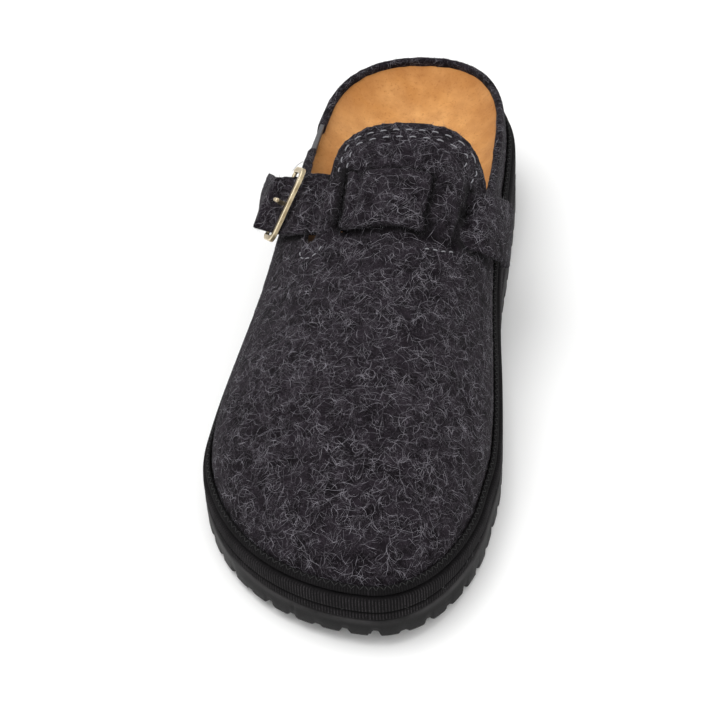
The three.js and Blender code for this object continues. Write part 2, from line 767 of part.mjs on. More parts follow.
// Prong: an eye round the heel bar and an arm up through the strap to the front bar
function prongSolid(grow) {
  const radius = prongRadius + grow;
  const eye = new THREE.Shape();
  eye.absarc(0, 0, barRadius + clearance + prongRadius + grow, 0, 2 * Math.PI, false);
  const hole = new THREE.Path();
  hole.absarc(0, 0, barRadius + clearance - grow, 0, 2 * Math.PI, true);
  eye.holes.push(hole);
  const upright = new THREE.Matrix4().makeRotationX(Math.PI / 2);
  const ring = extruded(eye, 2 * radius, buckleMatrix(0, 0, radius).multiply(upright));
  const reach = frameAlong - frameBar;
  const rest = reach * Math.sin(frameTilt) + frameThickness / 2 + clearance + prongRadius;
  const path = [
    { x: -0.1 * reach, z: barRadius + clearance },
    { x: -0.3 * reach, z: 0.85 * rest },
    { x: -0.5 * reach, z: 1.2 * rest },
    { x: -0.74 * reach, z: 1.3 * rest },
  ];
  const matrix = buckleMatrix(0);
  const sections = path.map((spot, i) => {
    const before = path[Math.max(i - 1, 0)];
    const after = path[Math.min(i + 1, path.length - 1)];
    const heading = new THREE.Vector2(after.x - before.x, after.z - before.z).normalize();
    return Array.from({ length: 8 }, (unused, k) => {
      const [u, v] = [radius * Math.cos(Math.PI * k / 4), radius * Math.sin(Math.PI * k / 4)];
      return new THREE.Vector3(spot.x - u * heading.y, v, spot.z + u * heading.x).applyMatrix4(matrix);
    });
  });
  return ring.add(sweep(sections));
}

// Tab: a thin loop round the heel bar, with a slot for the prong, and a tail under the strap's tip
function tabSolid() {
  const inner = barRadius + clearance;
  const outer = inner + tabThickness;
  const drop = 0.25;
  const shape = new THREE.Shape();
  shape.moveTo(tabTail, -outer - drop);
  shape.lineTo(tabTail, -inner - drop);
  shape.lineTo(inner, -inner);
  shape.absarc(0, 0, inner, -0.4, 0.4, true);
  shape.absarc(0, 0, outer, 0.4, 1.5 * Math.PI, false);
  const upright = new THREE.Matrix4().makeRotationX(Math.PI / 2);
  const loop = extruded(shape, tabWidth, buckleMatrix(0, 0, tabWidth / 2).multiply(upright));
  const slot = new THREE.BoxGeometry(2 * outer + 1, tabSlot, 2 * outer + 1);
  return loop.subtract(solidOf(slot.applyMatrix4(buckleMatrix(0))));
}

// The elastic gore fills a window in the lateral collar
const goreEnds = [goreStation - goreLength / 2, goreStation + goreLength / 2];
const goreTheta = thetaAt(goreStation);
const goreShare = goreStation / shoeLength;
const goreTop = feltFoot(goreStation) + rimHeight * column(collar, 'lateral')(goreShare);
const goreAngles = [
  angleAtHeight(goreTheta, goreTop - goreDepth, 'lateral'),
  angleAtHeight(goreTheta, goreTop + goreDepth, 'lateral'),
];
const collarSpace = collarCut('lateral', -ballWidth, 0).add(collarCut('medial', 0, ballWidth));
const gap = clearance / (shoeLength * 0.25);

function goreSolid() {
  const panel = wallPatch(goreEnds, goreAngles, [-goreRecess - goreThickness, -goreRecess]);
  return panel.subtract(collarSpace);
}

function goreWindow() {
  const ends = [goreEnds[0] - clearance, goreEnds[1] + clearance];
  return wallPatch(ends, [goreAngles[0] - gap, goreAngles[1]], [-2 * feltThickness, feltThickness]);
}

// Upper: the outer skin less the space inside it, the collar, the slits beside the tongue and the strap's way
function upperSolid() {
  const openings = collarSpace
    .subtract(planPrism(tongueShape(), 0, top))
    .add(planPrism(slitShape(tongueSides.lateral, -1), ballHeight, top))
    .add(planPrism(slitShape(tongueSides.medial, 1), ballHeight, top));
  return dome(44, 36, 0, 0, true)
    .subtract(dome(30, 20, feltThickness, 5, false))
    .subtract(openings)
    .subtract(goreWindow())
    .subtract(strapSolid(clearance));
}

add('outsole', outsoleSolid(), 'rubber');
add('midsole', midsoleSolid(), 'tape');
add('binding', bindingSolid(), 'tape');
add('footbed', footbedSolid(), 'suede');
add('upper', upperSolid(), 'felt');
add('elastic_gore', goreSolid(), 'elastic');
add('strap', strapSolid(0).subtract(prongSolid(clearance)), 'felt');
add('buckle_frame', buckleFrameSolid(), 'metal');
add('buckle_prong', prongSolid(0), 'metal');
add('buckle_tab', tabSolid(), 'felt');

// The origin is the middle of the shoe's box, on the floor
const box = new THREE.Box3().setFromObject(shoe);
const middle = box.getCenter(new THREE.Vector3());
shoe.position.set(-middle.x, -middle.y, -box.min.z);

export default group;
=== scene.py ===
import math

import bpy
import numpy as np
from mathutils import Matrix, Vector, noise
from mathutils.bvhtree import BVHTree


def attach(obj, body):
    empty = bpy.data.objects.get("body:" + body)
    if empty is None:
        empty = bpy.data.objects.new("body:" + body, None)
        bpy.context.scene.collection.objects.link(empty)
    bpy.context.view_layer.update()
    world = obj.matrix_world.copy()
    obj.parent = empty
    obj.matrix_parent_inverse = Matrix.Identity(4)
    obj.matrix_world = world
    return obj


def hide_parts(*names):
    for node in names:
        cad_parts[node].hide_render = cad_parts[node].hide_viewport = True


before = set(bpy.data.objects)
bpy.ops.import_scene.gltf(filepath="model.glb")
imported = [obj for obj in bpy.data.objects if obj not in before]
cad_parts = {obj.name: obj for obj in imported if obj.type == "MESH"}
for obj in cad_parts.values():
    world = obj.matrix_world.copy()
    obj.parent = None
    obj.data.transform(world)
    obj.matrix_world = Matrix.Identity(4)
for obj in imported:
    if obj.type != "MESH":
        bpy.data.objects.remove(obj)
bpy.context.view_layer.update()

# Outsole: one moulding of black rubber about 11 mm thick, turned up at the toe. Its lower edge is cut into
# lugs by short gaps, its side is smooth with a faint mould seam, and its top edge is scuffed a little paler.
# It is glued on.

shoe_length = 285.0
ball_width = 112.0
outsole_thickness = 11.5
toe_spring = 5.0
lug_count = 64
lug_gap = 3.1
lug_depth = 2.7
rubber_black = (0.0046, 0.0042, 0.0045, 1)
rubber_scuffed = (0.045, 0.043, 0.044, 1)


def through(places, values):
    """A smooth curve through a short row of values."""
    at, level = np.array(places, float), np.array(values, float)
    last = len(at) - 1
    above, below = np.minimum(np.arange(last + 1) + 1, last), np.maximum(np.arange(last + 1) - 1, 0)
    lean = (level[above] - level[below]) / (at[above] - at[below])

    def curve(t):
        t = np.clip(t, at[0], at[-1])
        i = np.clip(np.searchsorted(at, t) - 1, 0, last - 1)
        span = at[i + 1] - at[i]
        u, rise, c, d = (t - at[i]) / span, level[i + 1] - level[i], lean[i] * span, lean[i + 1] * span
        return level[i] + u * (c + u * (3 * rise - 2 * c - d + u * (c + d - 2 * rise)))

    return curve


sole_places = [0, 0.1, 0.2, 0.31, 0.4, 0.5, 0.58, 0.66, 0.73, 0.8, 0.85, 1]
outer_edge = through(
    sole_places, [0.7, 0.71, 0.75, 0.79, 0.835, 0.888, 0.935, 0.975, 0.992, 0.993, 0.979, 0.964])
inner_edge = through(
    sole_places, [0.77, 0.765, 0.79, 0.8, 0.805, 0.852, 0.905, 0.95, 0.973, 0.968, 0.984, 1.009])


def sole_edge(turn):
    """The sole's outline in mm: x across, and the station from the heel.

    The turn runs from the heel by the outer side to the toe and back by the inner side.
    """
    station = shoe_length * (1 - np.cos(turn)) / 2
    share = station / shoe_length
    full = np.where(np.sin(turn) >= 0, -outer_edge(share), inner_edge(share)) * ball_width / 2
    toe = np.clip(1 - (shoe_length - station) / (0.263 * shoe_length), 0, 1)
    x = 0.147 * ball_width + (full - 0.147 * ball_width) * np.sqrt(1 - toe ** 2)
    heel = np.clip(1 - station / (0.15 * shoe_length), 0, 1)
    return 0.045 * ball_width + (x - 0.045 * ball_width) * (1 - heel ** 2.2) ** (1 / 2.2), station


def inside_edge(turn, inset):
    """A line some way in from the sole's outline."""
    x, station = sole_edge(turn)
    before, after = sole_edge(turn - 0.02), sole_edge(turn + 0.02)
    dx, ds = after[0] - before[0], after[1] - before[1]
    size = np.hypot(dx, ds)
    return x + inset * ds / size, station - inset * dx / size


edge_turns = np.linspace(0, 2 * math.pi, 2001)
edge_x = sole_edge(edge_turns)[0]
shoe_shift = -(edge_x.min() + edge_x.max()) / 2


def even_turns(count):
    """Turns at even steps along the outline, half of them on each side, and how far along each lies in mm."""
    turns, runs = [], []
    for start in (0, math.pi):
        fine = start + np.linspace(0, math.pi, 4001)
        x, station = sole_edge(fine)
        run = np.concatenate([[0], np.cumsum(np.hypot(np.diff(x), np.diff(station)))])
        steps = np.linspace(0, run[-1], count // 2, endpoint=False)
        turns.append(np.interp(steps, run, fine))
        runs.append(steps + (runs[0][-1] if runs else 0))
    return np.concatenate(turns), np.concatenate(runs)


def spring_share(station):
    return np.clip((station / shoe_length - 0.83) / 0.17, 0, None) ** 1.6


def soft_step(value, low, high):
    t = np.clip((value - low) / (high - low), 0, 1)
    return t * t * (3 - 2 * t)


def ground(station):
    share = station / shoe_length
    heel = 1.5 * np.clip((0.05 - share) / 0.05, 0, None) ** 2
    arch = 1.2 * soft_step(share, 0.33, 0.4) * (1 - soft_step(share, 0.5, 0.57))
    return toe_spring * spring_share(station) + heel + arch


def outsole_top(station):
    return outsole_thickness + 0.45 * toe_spring * spring_share(station)


def ring(turns, inset, height, lift=0.0):
    """A ring of points in metres, in from the sole's edge by inset, at a height that follows the station."""
    x, station = inside_edge(turns, inset)
    z = height(sole_edge(turns)[1]) + lift
    return np.stack([x + shoe_shift, shoe_length / 2 - station, z], axis=-1) * 0.001


def mesh_piece(name, points, faces):
    mesh = bpy.data.meshes.new(name)
    mesh.from_pydata([tuple(p) for p in points], [], faces)
    mesh.validate()
    mesh.update()
    mesh.polygons.foreach_set("use_smooth", [True] * len(mesh.polygons))
    piece = bpy.data.objects.new(name, mesh)
    bpy.context.scene.collection.objects.link(piece)
    return piece


def ring_piece(name, rings, hoop=False):
    """A closed mesh through a stack of rings. A hoop joins its last ring to its first, others are capped."""
    count = len(rings[0])
    faces = []
    for r in range(len(rings) if hoop else len(rings) - 1):
        a, b = r * count, (r + 1) % len(rings) * count
        faces += [(a + k, a + (k + 1) % count, b + (k + 1) % count, b + k) for k in range(count)]
    if not hoop:
        roof = (len(rings) - 1) * count
        for k in range(count // 2):
            c, d = count - k - 1, (count - k) % count
            if k == 0:
                faces += [(1, 0, c), (roof, roof + 1, roof + c)]
            elif k + 1 == c:
                continue
            else:
                faces += [(k + 1, k, d, c), (roof + k, roof + k + 1, roof + c, roof + d)]
    return mesh_piece(name, np.concatenate(rings), faces)


def paint(piece, name, values):
    """Stores a value for each point, for the material to read."""
    layer = piece.data.attributes.new(name, "FLOAT", "POINT")
    layer.data.foreach_set("value", np.asarray(values, dtype=np.float32))


def new_material(name):
    material = bpy.data.materials.new(name)
    material.use_nodes = True
    return material, material.node_tree, material.node_tree.nodes["Principled BSDF"]


def node_in(tree, kind, inputs=(), **settings):
    """Adds a node, with its settings and its inputs as values or links."""
    node = tree.nodes.new(kind)
    for key, value in settings.items():
        setattr(node, key, value)
    for key, value in dict(inputs).items():
        if isinstance(value, bpy.types.NodeSocket):
            tree.links.new(value, node.inputs[key])
        else:
            node.inputs[key].default_value = value
    return node

# Fine grain: cloudy and speckled masks and a height, at sizes given in grains per metre. Every finish here
# but the felt's uses it.
grain = bpy.data.node_groups.new("fine_grain", "ShaderNodeTree")
for label, kind, start in (("Vector", "NodeSocketVector", None), ("Clouds", "NodeSocketFloat", 60.0),
                           ("Speckle", "NodeSocketFloat", 900.0)):
    socket = grain.interface.new_socket(label, in_out="INPUT", socket_type=kind)
    if start is not None:
        socket.default_value = start
for label in ("Cloud mask", "Speckle mask", "Height"):
    grain.interface.new_socket(label, in_out="OUTPUT", socket_type="NodeSocketFloat")
entry, leave = grain.nodes.new("NodeGroupInput"), grain.nodes.new("NodeGroupOutput")
clouds = node_in(grain, "ShaderNodeTexNoise", {
    "Vector": entry.outputs["Vector"], "Scale": entry.outputs["Clouds"], "Detail": 4.0, "Roughness": 0.6})
speckle = node_in(grain, "ShaderNodeTexNoise", {
    "Vector": entry.outputs["Vector"], "Scale": entry.outputs["Speckle"], "Detail": 3.0, "Roughness": 0.65})
cloud_mask = node_in(grain, "ShaderNodeMapRange", {
    "Value": clouds.outputs["Fac"], "From Min": 0.36, "From Max": 0.64})
speckle_mask = node_in(grain, "ShaderNodeMapRange", {
    "Value": speckle.outputs["Fac"], "From Min": 0.3, "From Max": 0.7})
both = node_in(grain, "ShaderNodeMath", {0: speckle_mask.outputs["Result"], 1: cloud_mask.outputs["Result"]},
               operation="ADD")
grain.links.new(cloud_mask.outputs["Result"], leave.inputs["Cloud mask"])
grain.links.new(speckle_mask.outputs["Result"], leave.inputs["Speckle mask"])
grain.links.new(both.outputs["Value"], leave.inputs["Height"])


def grained(tree, clouds_size, speckle_size):
    """Places the fine grain group in a material, on the piece's own coordinates."""
    place = tree.nodes.new("ShaderNodeTexCoord")
    node = tree.nodes.new("ShaderNodeGroup")
    node.node_tree = grain
    tree.links.new(place.outputs["Object"], node.inputs["Vector"])
    node.inputs["Clouds"].default_value = clouds_size
    node.inputs["Speckle"].default_value = speckle_size
    return node


def bumped(tree, shader, height, strength, distance):
    bump = node_in(tree, "ShaderNodeBump", {"Height": height, "Strength": strength, "Distance": distance})
    tree.links.new(bump.outputs["Normal"], shader.inputs["Normal"])


def two_tone(tree, mask, first, second):
    return node_in(tree, "ShaderNodeMix", {"Factor": mask, 6: first, 7: second}, data_type="RGBA").outputs[2]


turns, runs = even_turns(1152)
lug_pitch = (2 * runs[-1] - runs[-2]) / lug_count
beside = np.abs((runs % lug_pitch) - lug_pitch / 2)
worn_down = np.random.default_rng(3).uniform(0.3, 1.0, lug_count)[(runs // lug_pitch).astype(int) % lug_count]
notch = (1 - soft_step(beside, 0.25 * lug_gap, 0.75 * lug_gap)) * worn_down
toe_left = (np.sin(turns) > 0) & (sole_edge(turns)[1] > 0.9 * shoe_length)
seam_at = runs[toe_left][np.argmin(np.abs(sole_edge(turns[toe_left])[0] + 12))]
mould_seam = 0.35 * (1 - soft_step(np.abs(runs - seam_at), 0.3, 0.9))
outsole_rings = [
    ring(turns, 9.0, ground),
    ring(turns, 7.6, ground, 0.75 * lug_depth * notch),
    ring(turns, 4.0, ground, 0.95 * lug_depth * notch),
    ring(turns, 1.3, ground, lug_depth * notch),
    ring(turns, 0.5 + 0.3 * notch, ground, 0.5 + lug_depth * notch),
    ring(turns, 0.1 + 0.5 * notch, ground, 1.5 + 0.95 * lug_depth * notch),
    ring(turns, 0.05 + mould_seam, ground, 5.4),
    ring(turns, 0.1 + mould_seam, outsole_top, -3.0),
    ring(turns, 0.0 + mould_seam, outsole_top, -1.3),
    ring(turns, 0.25 + mould_seam, outsole_top, -0.45),
    ring(turns, 0.8, outsole_top, -0.06),
    ring(turns, 1.6, outsole_top),
]
outsole = ring_piece("outsole_rubber", outsole_rings)
paint(outsole, "scuff", np.repeat([0, 0, 0, 0, 0.25, 0.15, 0, 0, 0.55, 1, 0.8, 0], len(turns)))
rubber, tree, shader = new_material("outsole_rubber")
fine = grained(tree, 45.0, 1400.0)
scuff = node_in(tree, "ShaderNodeAttribute", attribute_name="scuff")
patchy = node_in(tree, "ShaderNodeMath", {0: scuff.outputs["Fac"], 1: fine.outputs["Cloud mask"]},
                 operation="MULTIPLY")
# Scuffed patches and fine dust on the rubber.
dust_and_highlight = node_in(tree, "ShaderNodeMath", {0: fine.outputs["Speckle mask"], 1: 0.1, 2: patchy.outputs["Value"]},
                operation="MULTIPLY_ADD")
tree.links.new(two_tone(tree, dust_and_highlight.outputs["Value"], rubber_black, rubber_scuffed),
               shader.inputs["Base Color"])
gloss = node_in(tree, "ShaderNodeMapRange", {
    "Value": fine.outputs["Cloud mask"], "To Min": 0.5, "To Max": 0.68})
tree.links.new(gloss.outputs["Result"], shader.inputs["Roughness"])
shader.inputs["Specular IOR Level"].default_value = 0.16
bumped(tree, shader, fine.outputs["Height"], 0.3, 0.0001)
outsole.data.materials.append(rubber)
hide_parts("outsole")
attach(outsole, "root")

# Platform: a light wedge, higher at the heel, wrapped in black grosgrain tape with fine upright ribs. The
# tape is glued on in two runs, a low one and a high one, which meet in a thin dark line where a few threads
# have frayed.

heel_height = 33.0
ball_height = 21.0
rib_pitch = 1.15
rib_relief = 0.11
tape_black = (0.0036, 0.0033, 0.0036, 1)
# Painted highlight: the tape's rib crests are painted this pale, standing in for light catching them.
tape_crest_highlight = (0.062, 0.056, 0.061, 1)
# Dark of the tape's seams, also used as painted shade on the binding's edges in the groove.
seam_and_shade_dark = (0.002, 0.002, 0.002, 1)
seam_shares = (0.0, 0.345, 0.385)
wedge_rise = through([0, 0.21, 0.39, 0.53, 0.67, 0.82, 0.92, 1], [1, 0.93, 0.58, 0.25, 0, 0, 0.12, 0.3])


def feather(station):
    """Height of the platform's top edge."""
    return ball_height + (heel_height - ball_height) * wedge_rise(station / shoe_length)


def platform_foot(station):
    return outsole_top(station) + 0.3


def up_platform(share):
    return lambda station: platform_foot(station) + share * (feather(station) - platform_foot(station))


turns, runs = even_turns(2560)
rib = rib_relief * np.cos(2 * math.pi * runs / rib_pitch)
unevenness = 0.09 * np.sin(runs / 17.0) * np.sin(runs / 41.0 + 1)
weave_rows = [
    # share of the height, inset, ribbed
    (0.0, 0.75, 0), (0.02, 0.3, 0.5), (0.06, 0.12, 1), (0.15, 0.1, 1), (0.25, 0.12, 1), (0.325, 0.2, 0.6),
    (0.345, 0.7, 0), (0.385, 0.75, 0), (0.4, 0.3, 0.5), (0.43, 0.12, 1), (0.56, 0.06, 1), (0.7, 0.06, 1),
    (0.84, 0.1, 1), (0.93, 0.16, 1), (0.975, 0.4, 0.7), (1.0, 1.0, 0.2),
]
platform_rings = [ring(turns, inset + unevenness * min(ribbed, 1) - rib * ribbed, up_platform(share))
                  for share, inset, ribbed in weave_rows]
platform = ring_piece("platform_tape", platform_rings)
ridges = [0.5 + 0.5 * ribbed * rib / rib_relief for _, _, ribbed in weave_rows]
paint(platform, "ridge", np.concatenate(ridges))
# Dark on the rows where the two runs meet and at the tape's foot on the outsole.
seams = [1.0 if share in seam_shares else 0.0 for share, _, _ in weave_rows]
paint(platform, "seam_and_shade", np.repeat(seams, len(turns)))


def tape_finish(name, dark, pale):
    """Ribbed woven tape: a painted highlight on the crests of its ribs, speckled and patchy, dark in its
    seams and in painted shade at the binding's edges.
    """
    material, tree, shader = new_material(name)
    fine = grained(tree, 70.0, 2200.0)
    ridge = node_in(tree, "ShaderNodeAttribute", attribute_name="ridge")
    seam_and_shade = node_in(tree, "ShaderNodeAttribute", attribute_name="seam_and_shade")
    crest = node_in(tree, "ShaderNodeMath", {0: ridge.outputs["Fac"], 1: 2.6}, operation="POWER")
    # Painted highlight on the rib crests, broken up by speckles and then by cloudy patches.
    speckled_crest_highlight = node_in(tree, "ShaderNodeMath", {0: crest.outputs["Value"], 1: fine.outputs["Speckle mask"]},
                     operation="MULTIPLY")
    shown = node_in(tree, "ShaderNodeMapRange", {
        "Value": fine.outputs["Cloud mask"], "To Min": 0.55, "To Max": 1.25})
    dust_and_highlight = node_in(tree, "ShaderNodeMath", {0: speckled_crest_highlight.outputs["Value"], 1: shown.outputs["Result"]},
                    operation="MULTIPLY")
    cloth = two_tone(tree, dust_and_highlight.outputs["Value"], dark, pale)
    tree.links.new(two_tone(tree, seam_and_shade.outputs["Fac"], cloth, seam_and_shade_dark), shader.inputs["Base Color"])
    shader.inputs["Roughness"].default_value = 0.82
    shader.inputs["Specular IOR Level"].default_value = 0.08
    bumped(tree, shader, fine.outputs["Height"], 0.4, 0.00012)
    return material


platform.data.materials.append(tape_finish("platform_tape", tape_black, tape_crest_highlight))
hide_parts("midsole")
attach(platform, "root")


def thread_mesh(name, paths, radius, sides=5):
    """Short threads through rows of points, each thinner at its ends, as one mesh."""
    points, faces = [], []
    for path in paths:
        path = [Vector(p) for p in path]
        base = len(points)
        for i, spot in enumerate(path):
            ahead = (path[min(i + 1, len(path) - 1)] - path[max(i - 1, 0)]).normalized()
            aside = ahead.cross(Vector((0.13, 0.31, 0.94))).normalized()
            over = ahead.cross(aside)
            end = i in (0, len(path) - 1)
            girth = radius * (0.35 if end else 1)
            for k in range(sides):
                turn = 2 * math.pi * k / sides
                points.append(spot + (aside * math.cos(turn) + over * math.sin(turn)) * girth)
        for i in range(len(path) - 1):
            for k in range(sides):
                a, b = base + i * sides + k, base + i * sides + (k + 1) % sides
                faces.append((a, b, b + sides, a + sides))
        last = base + (len(path) - 1) * sides
        faces.append(tuple(base + k for k in reversed(range(sides))))
        faces.append(tuple(last + k for k in range(sides)))
    return mesh_piece(name, points, faces)


fray_count = 46
fray_radius = 0.00006
fray_dark = (0.03, 0.03, 0.032, 1)
fray_pale = (0.13, 0.13, 0.135, 1)
frays = np.random.default_rng(5)
fray_paths = []
for _ in range(fray_count):
    k = int(frays.integers(0, len(turns)))
    start = Vector(platform_rings[7][k]) * 0.5 + Vector(platform_rings[9][k]) * 0.5
    deep = Vector(ring(turns[k:k + 1], 3.0, up_platform(0.43))[0])
    out = (Vector(platform_rings[9][k]) - deep).normalized()
    along = Vector(platform_rings[9][(k + 6) % len(turns)]) - Vector(platform_rings[9][k])
    along = along.normalized() * float(frays.choice([-1, 1]))
    reach = float(frays.uniform(0.8, 2.6)) * 0.001
    droop = Vector((0, 0, float(frays.uniform(-0.7, 0.7)))) * reach
    halfway = start + along * reach * 0.45 + out * 0.00035
    fray_paths.append([start, halfway, start + along * reach + out * 0.0003 + droop])
fray = thread_mesh("tape_frays", fray_paths, fray_radius, 4)
fray_finish, tree, shader = new_material("frayed_thread")
fine = grained(tree, 200.0, 3000.0)
tree.links.new(two_tone(tree, fine.outputs["Speckle mask"], fray_dark, fray_pale),
               shader.inputs["Base Color"])
shader.inputs["Roughness"].default_value = 0.9
fray.data.materials.append(fray_finish)
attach(fray, "root")

# Binding: a narrow ribbed strip round the foot of the felt, folded over the raw edge and sewn down with black
# zig-zag. A deep groove lies between it and the platform, and the binding's edge in it and its inner face are
# painted dark as shade. Its rib crests carry a painted highlight.

binding_stitch = 3.1
binding_length = 690
binding_rib = 0.1
binding_rib_pitch = 1.05
binding_black = (0.003, 0.0028, 0.003, 1)
# Painted highlight on the binding's rib crests.
binding_crest_highlight = (0.03, 0.027, 0.03, 1)
stitch_black = (0.003, 0.003, 0.0035, 1)
stitch_glint = (0.016, 0.0165, 0.0165, 1)

turns, runs = even_turns(2048)
rib = binding_rib * np.cos(2 * math.pi * runs / binding_rib_pitch)
binding_rows = [
    # inset, height over the platform, ribbed
    (2.6, 0.3, 0), (1.75, 0.8, 0.6), (1.35, 1.5, 1), (1.4, 2.4, 1), (1.75, 3.3, 1), (2.35, 3.95, 0.7),
    (3.0, 4.15, 0.2), (3.35, 3.8, 0), (3.38, 0.35, 0),
]
binding_rings = [ring(turns, inset - rib * ribbed, feather, height) for inset, height, ribbed in binding_rows]
binding = ring_piece("binding_tape", binding_rings, hoop=True)
ridges = [0.5 + 0.5 * ribbed * rib / binding_rib for _, _, ribbed in binding_rows]
paint(binding, "ridge", np.concatenate(ridges))
# Painted shade: the binding's foot in the groove by the platform and its inner face against the felt are
# painted dark.
paint(binding, "seam_and_shade", np.repeat([1.0, 0.2, 0, 0, 0, 0, 0.2, 0.6, 1.0], len(turns)))
binding.data.materials.append(tape_finish("binding_tape", binding_black, binding_crest_highlight))
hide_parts("binding")
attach(binding, "root")

zigzag = []
corners = even_turns(2 * int(binding_length / binding_stitch))[0]
low_line, high_line = ring(corners, 1.75, feather, 3.35), ring(corners, 2.95, feather, 4.35)
for k in range(len(corners)):
    near_line, far_line = (low_line, high_line) if k % 2 == 0 else (high_line, low_line)
    a, b = Vector(near_line[k]), Vector(far_line[(k + 1) % len(corners)])
    zigzag.append([a + (b - a) * 0.04, a + (b - a) * 0.5 + Vector((0, 0, 0.0002)), a + (b - a) * 0.96])
binding_thread = thread_mesh("binding_stitches", zigzag, 0.00017)
black_thread, tree, shader = new_material("black_thread")
fine = grained(tree, 150.0, 2600.0)
tree.links.new(two_tone(tree, fine.outputs["Speckle mask"], stitch_black, stitch_glint),
               shader.inputs["Base Color"])
shader.inputs["Roughness"].default_value = 0.7
binding_thread.data.materials.append(black_thread)
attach(binding_thread, "root")

# Footbed: a firm moulded bed covered in tan suede, dished under the heel, its edge climbing the felt all
# round the heel. The nap is brushed in soft patches, darker towards the edge, with fine pores.

suede_tan = (0.53, 0.235, 0.064, 1)
suede_pale = (0.68, 0.35, 0.125, 1)
suede_deep = (0.33, 0.125, 0.034, 1)
suede_shaded = (0.012, 0.006, 0.003, 1)
melt, regain = 0.5, -0.515
edge_reach = 1.3
edge_rise = 1.2


def soft_copy(node, name, voxel, passes):
    """A copy of a node's solid in fine even faces, with its facets melted away and its volume kept."""
    piece = bpy.data.objects.new(name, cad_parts[node].data.copy())
    bpy.context.scene.collection.objects.link(piece)
    remesh = piece.modifiers.new("even", "REMESH")
    remesh.mode = "VOXEL"
    remesh.voxel_size = voxel * 0.001
    graph = bpy.context.evaluated_depsgraph_get()
    mesh = bpy.data.meshes.new_from_object(piece.evaluated_get(graph))
    piece.modifiers.clear()
    piece.data = mesh
    mesh.name = name
    count = len(mesh.vertices)
    co = np.empty(count * 3)
    mesh.vertices.foreach_get("co", co)
    co = co.reshape(-1, 3)
    pairs = np.empty(len(mesh.edges) * 2, dtype=np.int64)
    mesh.edges.foreach_get("vertices", pairs)
    a, b = pairs[0::2], pairs[1::2]
    degree = np.bincount(pairs, minlength=count)[:, None]
    for _ in range(passes):
        for weight in (melt, regain):
            around = [np.bincount(a, co[b, i], count) + np.bincount(b, co[a, i], count) for i in range(3)]
            around = np.stack(around, 1)
            co = co + weight * (around / degree - co)
    mesh.vertices.foreach_set("co", co.ravel())
    mesh.polygons.foreach_set("use_smooth", [True] * len(mesh.polygons))
    mesh.materials.clear()
    mesh.update()
    return piece


def points_of(piece, what="co"):
    """The piece's points, or their normals, one row each."""
    flat = np.empty(len(piece.data.vertices) * 3)
    piece.data.vertices.foreach_get(what, flat)
    return flat.reshape(-1, 3)


def move_points(piece, points):
    piece.data.vertices.foreach_set("co", np.ascontiguousarray(points).ravel())
    piece.data.update()


footbed = soft_copy("footbed", "suede_footbed", 1.1, 90)
places = points_of(footbed)
spine = [np.full(len(places), 0.004), np.clip(places[:, 1], -0.09, 0.095), places[:, 2]]
from_middle = places - np.stack(spine, 1)
from_middle /= np.linalg.norm(from_middle, axis=1, keepdims=True) + 1e-9
over_feather = places[:, 2] * 1000 - feather(shoe_length / 2 - places[:, 1] * 1000)
lip = soft_step(over_feather, 5, 11)[:, None] * 0.001
places = places + lip * (from_middle * edge_reach + np.array([0, 0, edge_rise]))
move_points(footbed, places)
lowest = feather(shoe_length / 2 - places[:, 1] * 1000) * 0.001
paint(footbed, "shade", 0.96 * (1 - soft_step(places[:, 1] * 1000, 29, 50)))
paint(footbed, "climb", np.clip((places[:, 2] - lowest - 0.0065) / 0.011, 0, 1))
suede, tree, shader = new_material("tan_suede")
fine = grained(tree, 38.0, 950.0)
brushed = grained(tree, 130.0, 2600.0)
climb = node_in(tree, "ShaderNodeAttribute", attribute_name="climb")
base = two_tone(tree, fine.outputs["Cloud mask"], suede_tan, suede_pale)
patch = node_in(tree, "ShaderNodeMath", {0: brushed.outputs["Cloud mask"], 1: 0.4}, operation="MULTIPLY")
base = two_tone(tree, patch.outputs["Value"], base, suede_deep)
pores = node_in(tree, "ShaderNodeMapRange", {
    "Value": fine.outputs["Speckle mask"], "From Min": 0.62, "From Max": 1.0, "To Max": 0.5})
base = two_tone(tree, pores.outputs["Result"], base, suede_deep)
edge = node_in(tree, "ShaderNodeMath", {0: climb.outputs["Fac"], 1: 0.3}, operation="MULTIPLY")
base = two_tone(tree, edge.outputs["Value"], base, suede_deep)
shade = node_in(tree, "ShaderNodeAttribute", attribute_name="shade")
tree.links.new(two_tone(tree, shade.outputs["Fac"], base, suede_shaded), shader.inputs["Base Color"])
shader.inputs["Roughness"].default_value = 0.94
shader.inputs["Specular IOR Level"].default_value = 0.2
shader.inputs["Sheen Weight"].default_value = 0.35
shader.inputs["Sheen Roughness"].default_value = 0.5
shader.inputs["Sheen Tint"].default_value = (1.0, 0.72, 0.45, 1)
bumped(tree, shader, brushed.outputs["Height"], 0.35, 0.00015)
footbed.data.materials.append(suede)
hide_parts("footbed")
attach(footbed, "root")

# Upper: one piece of charcoal wool felt about 3 mm thick, steamed over a last and sewn into the binding. Pale
# and grey fibres lie tangled over a near-black ground, and the cut edges of collar, tongue and slits are left
# raw and fuzzy.

felt_ground = (0.0035, 0.0026, 0.0036, 1)
felt_grey = (0.0165, 0.0128, 0.017, 1)
felt_pale = (0.105, 0.093, 0.11, 1)
# Painted shade: the felt is painted this dark where it lies against or near the strap, as a contact shadow.
contact_shade_dark = (0.0012, 0.001, 0.0012, 1)

